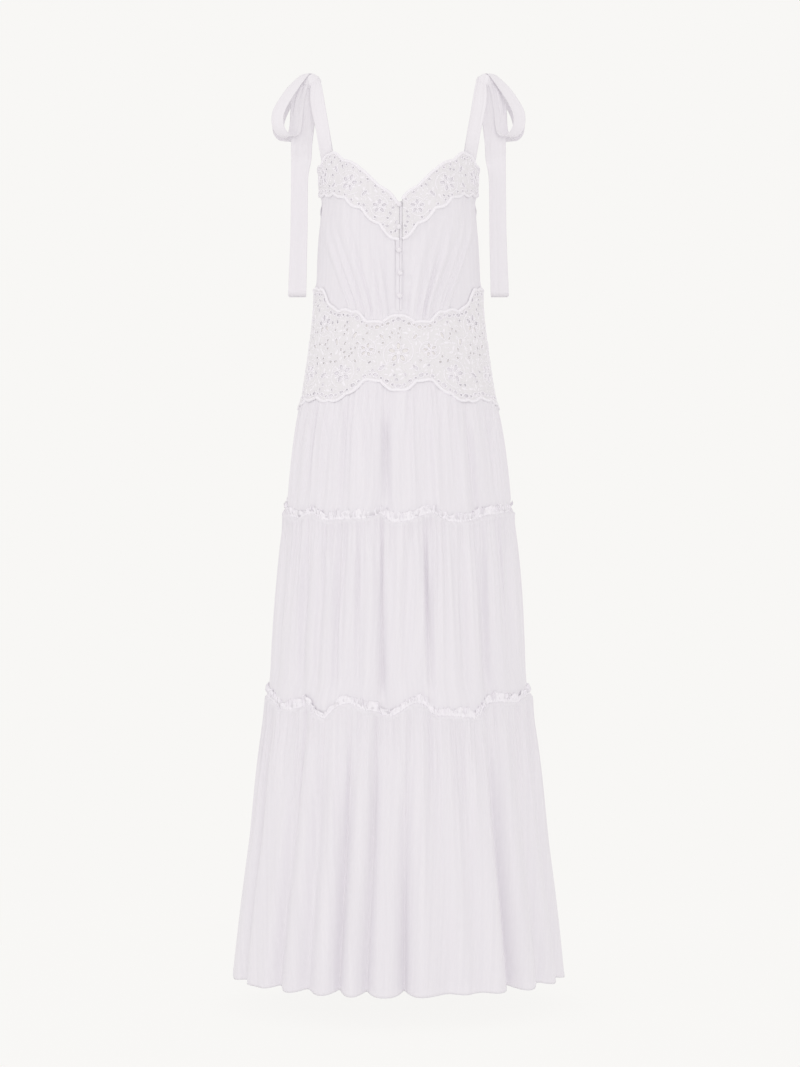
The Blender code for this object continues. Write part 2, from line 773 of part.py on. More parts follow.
def lace_piece(name, oval, outline, holes, fill, middle, collection, material):
    """A lace panel: its outline and holes meshed flat, then laid on the garment round the middle angle."""
    points, edges = [], []
    for ring in [outline, *holes]:
        first = len(points)
        points += [Vector(p) for p in ring]
        edges += [(first + i, first + (i + 1) % len(ring)) for i in range(len(ring))]
    points += [Vector(p) for p in fill]
    flat, _, faces, _, _, _ = delaunay_2d_cdt(points, edges, [], 1, 1e-7)
    inside = [ring_test(hole) for hole in holes]
    mesh_data = bmesh.new()
    verts = [mesh_data.verts.new(oval.point(p.x, p.y, middle)) for p in flat]
    for face in faces:
        centre = sum((flat[i] for i in face), Vector((0, 0))) / len(face)
        if any(test(centre) for test in inside):
            continue
        mesh_data.faces.new([verts[i] for i in face])
    loose = [v for v in mesh_data.verts if not v.link_faces]
    bmesh.ops.delete(mesh_data, geom=loose, context="VERTS")
    for face in mesh_data.faces:
        face.normal_update()
        if face.normal.dot(away_from_axis(face.calc_center_median())) < 0:
            face.normal_flip()
    return thicken(object_from(mesh_data, name, collection, material), LACE)


def away_from_axis(point):
    return Vector((point.x, point.y, 0))


def ring_test(ring):
    """A test of whether a flat point is inside a ring."""

    def test(point):
        crossings = 0
        for (x0, y0), (x1, y1) in zip(ring, ring[1:] + ring[:1]):
            if (y0 > point.y) != (y1 > point.y):
                crossings += point.x < x0 + (point.y - y0) / (y1 - y0) * (x1 - x0)
        return crossings % 2 == 1

    return test


class Oval:
    """The oval that a lace's distances are measured round, and how far out from the body it lies."""

    def __init__(self, half_width, depth, out):
        self.out = out
        self.rows = [Arc(0.0, 0.0)]
        for degree in range(1, 91):
            t = math.radians(degree - 0.5)
            step = math.radians(1) * math.hypot(half_width * math.cos(t), depth * math.sin(t))
            self.rows.append(Arc(self.rows[-1].across + step, float(degree)))
        self.quarter = self.rows[-1].across

    def angle(self, across):
        return math.copysign(read(self.rows, abs(across), "angle"), across)

    def point(self, across, height, middle):
        return body_point(middle + self.angle(across), height, out=self.out)


def lace_edge(rows, oval, scallops=0, rise=0.0):
    """A lace's edge: its height at a distance across, with scallops that rise or hang from it."""

    def edge(across):
        wave = abs(math.sin(math.pi * scallops * across / oval.quarter)) - 0.5 if scallops else 0.0
        return read(rows, abs(oval.angle(across)), "height") + rise * wave

    return edge


def strip_outline(upper, lower, low, high, steps):
    across = [lerp(low, high, i / steps) for i in range(steps + 1)]
    return [(s, lower(s)) for s in across] + [(s, upper(s)) for s in reversed(across)]


def fill_points(low, high, upper, lower, pitch, holes):
    """Points inside a strip that lie clear of its edges and holes, so that its faces stay small."""
    centres = [tuple(sum(values) / len(hole) for values in zip(*hole)) for hole in holes]
    made = []
    for i in range(1, math.ceil((high - low) / pitch)):
        across = low + i * pitch
        if across > high - FILL_MARGIN:
            break
        top, bottom = upper(across) - FILL_MARGIN, lower(across) + FILL_MARGIN
        rows = max(1, round((top - bottom) / pitch))
        for j in range(rows + 1):
            height = lerp(bottom, top, j / rows)
            if all(math.hypot(across - x, height - y) > FILL_CLEARANCE for x, y in centres):
                made.append((across, height))
    return made


def make_waist_lace(side, collection, material):
    oval = Oval(*WAIST_OVAL, WAIST_LACE_OUT)
    end = oval.quarter * (1 - SIDE_GAP_ANGLE / 90)
    upper = lace_edge(WAIST_LACE_UPPER_EDGE, oval, WAIST_SCALLOPS / 2, SCALLOP_DEPTH)
    lower = lace_edge(WAIST_LACE_LOWER_EDGE, oval, WAIST_SCALLOPS / 2, -SCALLOP_DEPTH)
    holes = motif_eyelets(mirrored(WAIST_FLOWERS), mirrored(WAIST_LEAVES))
    holes += edge_eyelets(lace_edge(WAIST_LACE_UPPER_EDGE, oval), -EDGE_EYELET_INSET)
    holes += edge_eyelets(lace_edge(WAIST_LACE_LOWER_EDGE, oval), EDGE_EYELET_INSET)
    outline = strip_outline(upper, lower, -end, end, WAIST_SCALLOPS * STEPS_PER_SCALLOP)
    fill = fill_points(-end, end, upper, lower, WAIST_FILL_PITCH, holes)
    middle = 0 if side == "front" else 180
    return lace_piece(f"waist_lace_{side}", oval, outline, holes, fill, middle, collection, material)


def make_bust_lace(side, collection, material):
    oval = Oval(*BUST_OVAL, BUST_LACE_OUT)
    end = oval.quarter * (1 - SIDE_GAP_ANGLE / 90)
    start = (PLACKET_RIGHT if side == "left" else -PLACKET_LEFT) + SEAM_GAP
    upper = lace_edge(NECK_EDGE, oval, BUST_SCALLOPS, SCALLOP_DEPTH)
    lower = lace_edge(BUST_LACE_LOWER_EDGE, oval, BUST_SCALLOPS, -SCALLOP_DEPTH)
    holes = motif_eyelets(BUST_FLOWERS, BUST_LEAVES)
    outline = strip_outline(upper, lower, start, end, BUST_SCALLOPS * STEPS_PER_SCALLOP)
    fill = fill_points(start, end, upper, lower, BUST_FILL_PITCH, holes)
    if side == "right":
        outline = [(-x, y) for x, y in reversed(outline)]
        holes = [[(-x, y) for x, y in reversed(hole)] for hole in holes]
        fill = [(-x, y) for x, y in fill]
    return lace_piece(f"bust_lace_{side}", oval, outline, holes, fill, 0, collection, material)


# Front opening


def front_angle(x, z):
    """The angle at which the front of the body is at a distance from its middle plane."""
    return math.degrees(math.asin(x / read(SECTIONS, z, "half_width")))


def make_placket(collection, material):
    """The narrow edge that closes the front, on which the buttons sit."""
    top = NECK_EDGE[0].height - PLACKET_SHORT
    bottom = WAIST_LACE_UPPER_EDGE[0].height + PLACKET_SHORT
    rows = []
    for j in range(PLACKET_ROWS + 1):
        z = lerp(top, bottom, j / PLACKET_ROWS)
        angles = (front_angle(PLACKET_LEFT, z), front_angle(PLACKET_RIGHT, z))
        rows.append([body_point(angle, z, out=PLACKET_OUT) for angle in angles])
    return loft(rows, "button_placket", collection, material, CLOTH)


def make_button(number, collection, material):
    z = TOP_BUTTON_Z - BUTTON_PITCH * number
    seat = body_point(0, z, out=PLACKET_OUT + CLOTH + BUTTON_GAP)
    mesh_data = bmesh.new()
    around, down = BUTTON_SEGMENTS
    bmesh.ops.create_uvsphere(mesh_data, u_segments=around, v_segments=down, radius=BUTTON_RADIUS)
    for vert in mesh_data.verts:
        vert.co.z = max(vert.co.z, -BUTTON_CUT * BUTTON_RADIUS)
    bmesh.ops.remove_doubles(mesh_data, verts=mesh_data.verts, dist=0.0001)
    bmesh.ops.dissolve_limit(mesh_data, angle_limit=0.01, verts=mesh_data.verts, edges=mesh_data.edges)
    made = object_from(mesh_data, f"button_{number + 1}", collection, material)
    made.location = seat + Vector((0, -BUTTON_CUT * BUTTON_HEIGHT, 0))
    made.rotation_euler = (math.radians(90), 0, 0)
    made.scale = (1, 1, BUTTON_HEIGHT / BUTTON_RADIUS)
    return made


# Shoulder ties


def ribbon_rows(points, across_steps, along_steps):
    """Rows of points across a ribbon, read from a smooth curve through its table."""
    order = range(len(points))
    rows = []
    for j in range(along_steps + 1):
        at = j / along_steps * (len(points) - 1)
        here = Tie(*(through(order, column, at) for column in zip(*points)))
        t = math.radians(here.turn)
        across = Vector((math.cos(t), math.sin(t), 0)) * here.width
        middle = Vector((here.x, here.y, here.z))
        rows.append([middle + across * (i / across_steps - 0.5) for i in range(across_steps + 1)])
    return rows


def strap_rows(points, foot, top):
    """Rows of a strap down to its foot, which follows the bodice's top edge a small gap above it."""
    angles = [lerp(*foot, i / STRAP_STEPS) for i in range(STRAP_STEPS + 1)]
    last = [body_point(angle, top(angle) + FOOT_GAP) for angle in angles]
    return [*ribbon_rows(points, STRAP_STEPS, STRAP_ROWS), last]


def loop_ties():
    """The loop's middle line as a tie's points."""
    t = math.radians(LOOP_HEADING)
    x, y = LOOP_START
    out, forward = math.cos(t), math.sin(t)
    turn = 90 - LOOP_HEADING
    return [Tie(x + at.reach * out, y - at.reach * forward, at.z, at.width, turn) for at in LOOP]


def behind(ties):
    """A tie's points with front and back exchanged."""
    return [tie._replace(y=-tie.y, turn=-tie.turn) for tie in ties]


def make_tie(name, rows, where, side, collection, material):
    """A tie from its rows on the wearer's left, which run down with their points towards the left arm."""
    if side == "right":
        rows = [[Vector((-p.x, p.y, p.z)) for p in row] for row in rows]
    if (side == "right") != (where == "back"):
        rows = [row[::-1] for row in rows]
    return loft(rows, f"{where}_{name}_{side}", collection, material, RIBBON)


def make_ties(side, collection, material):
    """The two straps, two loops and two tails of one shoulder."""
    for where in ("front", "back"):
        turned = list if where == "front" else behind
        foot, top = (FRONT_FOOT, front_top) if where == "front" else (BACK_FOOT, back_top)
        strap = strap_rows(turned(FRONT_STRAP), foot, top)
        loop = ribbon_rows(turned(loop_ties()), LOOP_STEPS, LOOP_ROWS)
        tail = ribbon_rows(turned(FRONT_TAIL), TAIL_STEPS, TAIL_ROWS)
        make_tie("strap", strap, where, side, collection, material)
        make_tie("loop", loop, where, side, collection, material)
        make_tie("tail", tail, where, side, collection, material)


def make_knot(side, collection, material):
    """The knot of a shoulder bow, as a rounded block."""
    sign = 1 if side == "left" else -1
    mesh_data = bmesh.new()
    around, down = KNOT_SEGMENTS
    bmesh.ops.create_uvsphere(mesh_data, u_segments=around, v_segments=down, radius=1.0)
    for vert in mesh_data.verts:
        square = max(abs(vert.co.x), abs(vert.co.y), abs(vert.co.z))
        vert.co = vert.co.lerp(vert.co / square, KNOT_SQUARENESS)
        vert.co = Vector(vert.co[i] * KNOT_SIZE[i] for i in range(3))
    made = object_from(mesh_data, f"shoulder_knot_{side}", collection, material)
    made.location = (sign * KNOT[0], KNOT[1], KNOT[2])
    return made


def make_dress():
    for old in list(bpy.data.objects):
        bpy.data.objects.remove(old)
    dress = collection_named("maxi_dress")
    voile = material_named("cotton_voile", WHITE, 0.85)
    lining = material_named("lining", IVORY, 0.85)
    embroidery = material_named("eyelet_lace", WHITE, 0.8)
    covered = material_named("covered_button", WHITE, 0.7)

    for side in ("front", "back"):
        for tier in ("first", "second", "third"):
            make_tier(tier, side, dress, voile)
        make_frill("first", "upper", side, dress, voile)
        make_frill("second", "lower", side, dress, voile)
        make_lining(side, dress, lining)
        make_waist_lace(side, dress, embroidery)

    make_bodice_back(dress, voile)
    for side in ("left", "right"):
        make_bodice_front(side, dress, voile)
        make_bust_lace(side, dress, embroidery)
        make_knot(side, dress, voile)
        make_ties(side, dress, voile)

    make_placket(dress, voile)
    for number in range(BUTTONS):
        make_button(number, dress, covered)


make_dress()
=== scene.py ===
"""Looks of the white maxi dress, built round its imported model.

Metres, +Z up, the front facing -Y and the wearer's left at +X. Angles go round the body: 0 at the centre
front, 90 at the wearer's left side, 180 at the centre back.
"""

import math
import random

import bpy
import numpy as np
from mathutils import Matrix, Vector
from mathutils.geometry import delaunay_2d_cdt


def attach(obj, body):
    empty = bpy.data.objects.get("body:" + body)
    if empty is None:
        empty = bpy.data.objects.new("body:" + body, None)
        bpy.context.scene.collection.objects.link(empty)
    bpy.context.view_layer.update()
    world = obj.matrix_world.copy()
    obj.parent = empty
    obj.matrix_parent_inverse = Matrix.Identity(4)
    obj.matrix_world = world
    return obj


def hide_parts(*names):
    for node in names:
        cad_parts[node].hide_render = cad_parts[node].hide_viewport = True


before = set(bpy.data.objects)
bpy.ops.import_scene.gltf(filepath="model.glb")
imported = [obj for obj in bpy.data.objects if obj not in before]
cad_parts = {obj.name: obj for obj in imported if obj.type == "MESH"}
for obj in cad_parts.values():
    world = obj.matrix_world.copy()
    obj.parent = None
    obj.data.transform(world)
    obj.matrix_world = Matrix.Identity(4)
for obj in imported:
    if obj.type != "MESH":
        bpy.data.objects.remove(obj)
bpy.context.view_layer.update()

MM = 0.001

# Camera

CAMERA_PLACE = (0.00255, -4.2, -0.774)
CAMERA_LENS = 83.36

# Sizes that the dress's solids have too

SEAM_GAP = 0.6 * MM
BUST_LACE_OUT = 4.6 * MM
WAIST_LACE_OUT = 4.2 * MM
PLACKET_OUT = 1.7 * MM
WAIST_Z = -0.425
HIP_Z = -0.490
FIRST_SEAM_Z = -0.731
SECOND_SEAM_Z = -1.046
HEM_Z = -1.522

# Height, half width, depth in front and depth behind
SECTIONS = np.array([
    (-0.125, 0.1320, 0.0900, 0.0900),
    (-0.180, 0.1310, 0.1080, 0.0980),
    (-0.218, 0.1290, 0.1130, 0.1000),
    (-0.275, 0.1345, 0.1120, 0.0960),
    (-0.350, 0.1385, 0.1050, 0.0930),
    (-0.408, 0.1415, 0.1030, 0.0950),
    (-0.490, 0.1520, 0.1130, 0.1120),
    (-0.537, 0.1595, 0.1215, 0.1245),
    (-0.571, 0.1675, 0.1290, 0.1330),
    (-0.612, 0.1745, 0.1360, 0.1410),
    (-0.673, 0.1820, 0.1440, 0.1480),
    (-0.719, 0.1865, 0.1490, 0.1510),
    (-0.755, 0.1930, 0.1540, 0.1560),
    (-0.796, 0.1985, 0.1590, 0.1600),
    (-0.877, 0.2055, 0.1660, 0.1670),
    (-0.959, 0.2110, 0.1710, 0.1720),
    (-1.020, 0.2150, 0.1750, 0.1760),
    (-1.047, 0.2205, 0.1780, 0.1790),
    (-1.102, 0.2285, 0.1830, 0.1840),
    (-1.183, 0.2390, 0.1890, 0.1900),
    (-1.285, 0.2510, 0.1950, 0.1960),
    (-1.387, 0.2645, 0.2010, 0.2020),
    (-1.489, 0.2765, 0.2060, 0.2070),
    (-1.530, 0.2805, 0.2080, 0.2090),
])
CUP_ANGLE = 36.0
CUP_WIDTH = 19.0
CUP_Z = -0.232
CUP_HEIGHT = 0.045
CUP_OUT = 9 * MM
WAIST_BED_OUT = 2.5 * MM
BUST_BED_OUT = 2.9 * MM

# Skirt folds: angle at the top and bottom, depth in mm at the top, middle and bottom, width and pinch
FIRST_TIER_FRONT = [
    (-68, -70, 0.6, 3.0, 2.0, 5.5, 0.2),
    (-53, -55, 0.8, 3.5, 2.5, 5.0, 0.2),
    (-40, -43, 0.8, 3.0, 2.0, 4.5, 0.2),
    (-28, -30, 0.8, 3.5, 2.5, 4.0, 0.3),
    (-17, -17, 0.8, 4.0, 3.0, 4.0, 0.3),
    (-8, -6, 1.0, 7.0, 4.0, 4.0, 0.6),
    (4, 3, 0.8, 3.5, 2.5, 3.8, 0.3),
    (14, 15, 0.8, 3.5, 3.0, 4.2, 0.3),
    (29, 30, 0.8, 3.0, 2.5, 4.8, 0.2),
    (42, 43, 0.8, 6.0, 4.0, 4.8, 0.5),
    (58, 60, 0.8, 3.5, 2.5, 5.5, 0.2),
]
SECOND_TIER_FRONT = [
    (-66, -68, 1.5, 5.0, 4.0, 6.0, 0.3),
    (-49, -51, 1.5, 7.0, 6.0, 5.0, 0.4),
    (-38, -39, 1.5, 6.0, 5.0, 4.0, 0.4),
    (-28, -29, 2.0, 7.0, 5.0, 3.6, 0.6),
    (-19, -18, 2.5, 6.0, 4.0, 3.6, 0.4),
    (-8, -7, 2.0, 7.5, 9.0, 3.0, 0.8),
    (3, 3, 1.5, 5.0, 4.0, 3.6, 0.3),
    (13, 15, 3.0, 8.0, 5.0, 3.0, 0.8),
    (29, 31, 1.5, 6.0, 5.0, 4.8, 0.4),
    (42, 44, 2.5, 7.0, 6.0, 5.0, 0.6),
    (60, 62, 1.5, 6.0, 5.0, 6.0, 0.3),
]
THIRD_TIER_FRONT = [
    (-68, -68, 2.0, 7.0, 9.0, 6.5, 0.3),
    (-45, -46, 4.0, 13.0, 17.0, 5.0, 0.6),
    (-32, -33, 2.5, 9.0, 14.0, 4.6, 0.5),
    (-20, -21, 4.0, 16.0, 24.0, 4.4, 0.9),
    (-9, -11, 3.0, 12.0, 20.0, 3.8, 0.8),
    (3, 2, 4.5, 18.0, 34.0, 4.4, 0.9),
    (15, 17, 2.0, 6.0, 5.0, 5.0, 0.3),
    (27, 29, 2.0, 6.0, 5.0, 5.0, 0.3),
    (41, 42, 3.0, 17.0, 38.0, 5.6, 0.9),
    (56, 58, 2.0, 8.0, 12.0, 5.6, 0.4),
    (72, 74, 2.0, 6.0, 8.0, 6.0, 0.3),
]
BACK_FOLD_WIDTH = 5.2
FOLD_ZERO = 0.79
FOLD_REACH = 3
# Share of a tier's height at which its folds start, and the share in which they open
FOLDS_OPEN = {"first": (0.20, 0.30), "second": (0.0, 0.25), "third": (0.0, 0.25)}
FOLDS_CLOSE = 0.8  # share of the height from which the folds of the two upper tiers die out

# Slow waves of the two seams: angle, depth in mm, width in degrees, and drop in mm
FIRST_SEAM_WAVES = [
    (-62, 2.5, 9, 3),
    (-30, 3.0, 9, 3),
    (-8, 5.0, 8, -6),
    (13, 4.0, 8, -3),
    (43, 5.0, 9, -4),
    (150, 4.0, 9, -3),
    (195, 5.0, 9, 3),
    (240, 4.0, 9, -3),
]
SECOND_SEAM_WAVES = [
    (-47, 6.0, 9, -7),
    (-21, 4.0, 8, -6),
    (-6, 7.0, 8, 4),
    (10, 4.0, 8, -7),
    (43, 7.0, 9, -9),
    (132, 6.0, 10, -5),
    (168, 6.0, 9, 5),
    (204, 4.0, 12, -5),
    (238, 6.0, 11, 4),
]

# How the seams ripple across the back: height and waves to a turn, and the degrees in which this starts
BACK_RIPPLES = ((2.6 * MM, 15), (2.0 * MM, 26))
BACK_RIPPLE_START = 8

# Where the foot of each frill runs across the front: angle and height
FIRST_SEAM_PATH = np.array([
    (-90, -0.7310), (-73, -0.7410), (-61, -0.7473), (-54, -0.7432), (-48, -0.7392), (-43, -0.7450),
    (-38, -0.7501), (-29, -0.7485), (-18, -0.7477), (-12, -0.7437), (-9, -0.7396), (-4, -0.7511),
    (2, -0.7527), (10, -0.7453), (17, -0.7379), (21, -0.7453), (26, -0.7526), (38, -0.7517),
    (52, -0.7416), (71, -0.7370), (90, -0.7310),
])
SECOND_SEAM_PATH = np.array([
    (-90, -1.0460), (-82, -1.0475), (-69, -1.0544), (-61, -1.0627), (-55, -1.0640), (-48, -1.0604),
    (-43, -1.0530), (-39, -1.0656), (-35, -1.0725), (-32, -1.0745), (-29, -1.0627), (-26, -1.0542),
    (-22, -1.0506), (-19, -1.0520), (-14, -1.0598), (-9, -1.0628), (-6, -1.0684), (-1, -1.0667),
    (5, -1.0513), (9, -1.0490), (12, -1.0548), (15, -1.0680), (20, -1.0700), (26, -1.0713),
    (31, -1.0736), (35, -1.0732), (39, -1.0639), (43, -1.0531), (52, -1.0511), (63, -1.0539),
    (69, -1.0477), (82, -1.0430), (90, -1.0460),
])

# Lace edges: angle from the centre, and height
NECK_EDGE = np.array([
    (0, -0.2270), (5, -0.2130), (13, -0.1970), (20, -0.1835), (28, -0.1640), (35, -0.1555),
    (43, -0.1467), (54, -0.1340), (62, -0.1370), (74, -0.1500), (90, -0.1560),
])
BUST_LACE_LOWER_EDGE = np.array([
    (0, -0.2925), (7, -0.2810), (14, -0.2640), (20, -0.2530), (27, -0.2380), (33, -0.2300),
    (40, -0.2190), (46, -0.2130), (60, -0.2085), (90, -0.2010),
])
WAIST_LACE_UPPER_EDGE = np.array([
    (0, -0.4085), (10, -0.4190), (17, -0.4220), (23, -0.4160), (29, -0.4040), (38, -0.4005),
    (46, -0.3985), (53, -0.3900), (58, -0.3740), (64, -0.3630), (75, -0.3600), (90, -0.3600),
])
WAIST_LACE_LOWER_EDGE = np.array([
    (0, -0.5415), (5, -0.5360), (11, -0.5260), (18, -0.5205), (24, -0.5310), (30, -0.5430),
    (38, -0.5530), (45, -0.5560), (55, -0.5505), (66, -0.5520), (78, -0.5560), (90, -0.5630),
])
LACE_ABOVE_TOP = 4 * MM
WAIST_OVAL = (0.150, 0.112)
BUST_OVAL = (0.134, 0.113)
WAIST_SCALLOP_DEPTH = 4.0 * MM
WAIST_SCALLOPS = 7.5  # from the centre to a side
NECK_SCALLOP_DEPTH = 3.2 * MM
NECK_SCALLOPS = 6
BUST_SCALLOP_DEPTH = 4.8 * MM
BUST_SCALLOPS = 6.5

# Flowers and leaves of eyelets: distance round from the centre, height, size and turn
WAIST_FLOWERS = [
    (0.000, -0.4750, 1.25, 90),
    (0.052, -0.4700, 0.85, 30),
    (0.092, -0.5080, 1.10, 75),
    (0.140, -0.4230, 1.15, 10),
    (0.168, -0.5050, 1.10, 60),
]
WAIST_LEAVES = [
    (0.027, -0.5000, 0.9, 140),
    (0.028, -0.4480, 0.8, 50),
    (0.075, -0.4450, 1.0, 120),
    (0.108, -0.4550, 1.0, 75),
    (0.129, -0.5100, 1.0, 150),
    (0.160, -0.4600, 0.9, 30),
    (0.190, -0.4000, 1.0, 95),
    (0.195, -0.4550, 1.0, 80),
]
BUST_FLOWERS = [
    (0.031, -0.2330, 0.85, 20),
    (0.083, -0.1910, 1.05, 40),
    (0.150, -0.1750, 0.95, 10),
]
BUST_LEAVES = [
    (0.056, -0.2110, 0.9, 135),
    (0.112, -0.1650, 0.9, 60),
    (0.118, -0.1920, 0.8, 150),
    (0.178, -0.1760, 0.9, 90),
]
PETALS = 5
PETAL_DISTANCE = 9.0 * MM
PETAL_LENGTH = 4.4 * MM
PETAL_WIDTH = 2.6 * MM
LEAF_LENGTH = 6.0 * MM
LEAF_WIDTH = 2.6 * MM
EDGE_EYELETS = 11
EDGE_EYELET_PITCH = 36 * MM
EDGE_EYELET_INSET = 10.5 * MM
EDGE_EYELET_LENGTH = 3.9 * MM
EDGE_EYELET_WIDTH = 2.7 * MM

TOP_BUTTON_Z = -0.2298
BUTTON_PITCH = 0.0376
BUTTON_RADIUS = 4.5 * MM
BUTTON_HEIGHT = 3.9 * MM
BUTTON_SEATS = [  # how far to the wearer's left of the centre, and out from the placket
    (0.8 * MM, 5.6 * MM),
    (0.8 * MM, 5.4 * MM),
    (0.8 * MM, 3.4 * MM),
    (2.6 * MM, 3.4 * MM),
    (2.2 * MM, 3.4 * MM),
]
PLACKET_LEFT = -4.8 * MM
PLACKET_RIGHT = 5.5 * MM
PLACKET_SHORT = 3 * MM
LACE_OVER_PLACKET = 1.4 * MM  # how far past the centre the wearer's right half of the bust lace reaches

FRONT_GATHERS = 5
FRONT_GATHER_START = 12.0
FRONT_GATHER_END = 76.0
GATHER_PULL = 0.46
FRONT_GATHER_DEPTH = 3.2 * MM
BACK_NECK_DROP = 0.040
CASINGS = ((-0.166, 2.6 * MM), (-0.226, 2.2 * MM))
CASING_HEIGHT = 9 * MM

KNOT = (0.1490, -0.0020, -0.0090)
KNOT_SIZE = (0.0172, 0.0180, 0.0158)

# Ties on the wearer's left: x, y, z, width, and how far the width is turned towards the back. A loop's rows
# give the distance along its heading in place of x and y.
FRONT_STRAP = np.array([
    (0.1390, -0.0090, -0.0005, 0.0090, 0),
    (0.1390, -0.0230, -0.0190, 0.0195, 6),
    (0.1360, -0.0350, -0.0500, 0.0245, 11),
    (0.1275, -0.0480, -0.0950, 0.0235, 17),
    (0.1237, -0.0480, -0.1180, 0.0240, 22),
])
FRONT_TAIL = np.array([
    (0.1450, -0.0045, -0.0010, 0.0120, 0),
    (0.1510, -0.0140, -0.0140, 0.0260, 0),
    (0.1555, -0.0180, -0.0340, 0.0350, 0),
    (0.1595, -0.0185, -0.0650, 0.0380, 0),
    (0.1640, -0.0130, -0.1138, 0.0360, 2),
    (0.1650, -0.0050, -0.1400, 0.0345, 4),
    (0.1678, -0.0055, -0.1748, 0.0290, 2),
    (0.1690, -0.0070, -0.2700, 0.0290, 0),
    (0.1720, -0.0085, -0.3715, 0.0310, 0),
])
BACK_SHARE = 0.92  # width of the back tails and loops beside the front ones, which hide them
BACK_LOOP_SHIFT = 3.0 * MM
FRONT_FOOT = (57, 76)
BACK_FOOT = (123, 104)
FOOT_GAP = 1.0 * MM
LOOP_START = (0.1496, -0.0080)
LOOP_HEADING = 29.0
LOOP = np.array([
    (0.0000, 0.0040, 0.0110, 40),
    (0.0085, 0.0035, 0.0160, 34),
    (0.0190, -0.0060, 0.0210, 33),
    (0.0340, -0.0230, 0.0255, 31),
    (0.0482, -0.0430, 0.0260, 30),
    (0.0587, -0.0615, 0.0255, 30),
    (0.0616, -0.0770, 0.0240, 31),
    (0.0590, -0.0905, 0.0240, 32),
    (0.0500, -0.1005, 0.0245, 32),
    (0.0395, -0.1030, 0.0240, 29),
    (0.0310, -0.0960, 0.0225, 20),
    (0.0272, -0.0790, 0.0215, 12),
    (0.0252, -0.0560, 0.0225, 10),
    (0.0218, -0.0320, 0.0245, 12),
    (0.0150, -0.0110, 0.0230, 20),
    (0.0030, 0.0000, 0.0130, 35),
])

# Finer form

SHELL = 0.45 * MM  # thickness of the cloth that shows
SHELL_OUT = 0.45 * MM  # how far its inner face stands out from the surface of the solids' inner face
TIER_COLUMNS = {"front": 420, "back": 370}
PINCH = 0.8  # how much of the solids' sideways lean the folds keep
DEEPEST = 20 * MM
WIDER = 1.15
FLOOR_Z = -1.575


# Curves through tables


def lerp(low, high, share):
    return low + (high - low) * share


def smooth(share):
    share = np.clip(share, 0.0, 1.0)
    return share * share * (3 - 2 * share)


def bell(x):
    return np.exp(-x * x)


def through(keys, values, at):
    """Values at places among the keys, on a smooth curve through the values."""
    keys, values = np.asarray(keys, float), np.asarray(values, float)
    if keys[0] > keys[-1]:
        keys, values = keys[::-1], values[::-1]
    at = np.asarray(at, float)
    n = len(keys)
    order = np.arange(n)
    low, high = np.maximum(order - 1, 0), np.minimum(order + 1, n - 1)
    slope = (values[high] - values[low]) / (keys[high] - keys[low])
    i = np.clip(np.searchsorted(keys, at, side="right") - 1, 0, n - 2)
    width = keys[i + 1] - keys[i]
    share = np.clip((at - keys[i]) / width, 0.0, 1.0)
    square, cube = share * share, share**3
    return (
        (2 * cube - 3 * square + 1) * values[i]
        + (cube - 2 * square + share) * width * slope[i]
        + (3 * square - 2 * cube) * values[i + 1]
        + (cube - square) * width * slope[i + 1]
    )


# The body's surface


def cup(angle, z):
    around = bell((np.abs(angle) - CUP_ANGLE) / CUP_WIDTH)
    return CUP_OUT * around * bell((z - CUP_Z) / CUP_HEIGHT)


def body(angle, z, out=0.0, along=0.0):
    """Points on the garment's surface, moved out from it and along it to the wearer's left."""
    angle, z, out, along = np.broadcast_arrays(*(np.asarray(a, float) for a in (angle, z, out, along)))
    t = np.radians(angle)
    heights = SECTIONS[:, 0]
    half = through(heights, SECTIONS[:, 1], z)
    in_front = np.cos(t) >= 0
    depth = np.where(in_front, through(heights, SECTIONS[:, 2], z), through(heights, SECTIONS[:, 3], z))
    nx, ny = depth * np.sin(t), -half * np.cos(t)
    length = np.hypot(nx, ny)
    nx, ny = nx / length, ny / length
    out = out + np.where(in_front, cup(angle, z), 0.0)
    x = half * np.sin(t) + out * nx - along * ny
    y = -depth * np.cos(t) + out * ny + along * nx
    return np.stack([x, y, z], -1)


# Folds


def valley(x):
    return -(1 - (x / FOLD_ZERO) ** 2) * np.exp(-1.2 * x * x)


def fold_offset(folds, angle, v):
    out, along = np.zeros_like(angle), np.zeros_like(angle)
    for top_angle, bottom_angle, top, middle, bottom, width, pinch in folds:
        x = (angle - lerp(top_angle, bottom_angle, v)) / (WIDER * width)
        near = np.abs(x) <= FOLD_REACH
        depth = np.where(v < 0.5, lerp(top, middle, smooth(2 * v)), lerp(middle, bottom, 2 * v - 1)) * MM
        depth = DEEPEST * np.tanh(depth / DEEPEST)
        out += near * depth * valley(x)
        along -= near * PINCH * pinch * depth * x * bell(x)
    return out, along


def seam_offset(waves, angle):
    out, drop = np.zeros_like(angle), np.zeros_like(angle)
    for middle, depth, width, fall in waves:
        x = ((angle - middle + 180) % 360 - 180) / width
        near = np.abs(x) < FOLD_REACH
        out += near * depth * MM * valley(x)
        drop += near * fall * MM * bell(x)
    return out, drop


def back_folds(folds, seed):
    chance = random.Random(seed)
    pitch = 180 / (len(folds) + 1)
    likes = list(folds)
    chance.shuffle(likes)
    made = []
    for i, like in enumerate(likes):
        angle = 90 + pitch * (i + 1) + chance.uniform(-2.5, 2.5)
        lower = angle + chance.uniform(-2.0, 2.0)
        made.append((angle, lower, *like[2:5], BACK_FOLD_WIDTH, like[6]))
    return made


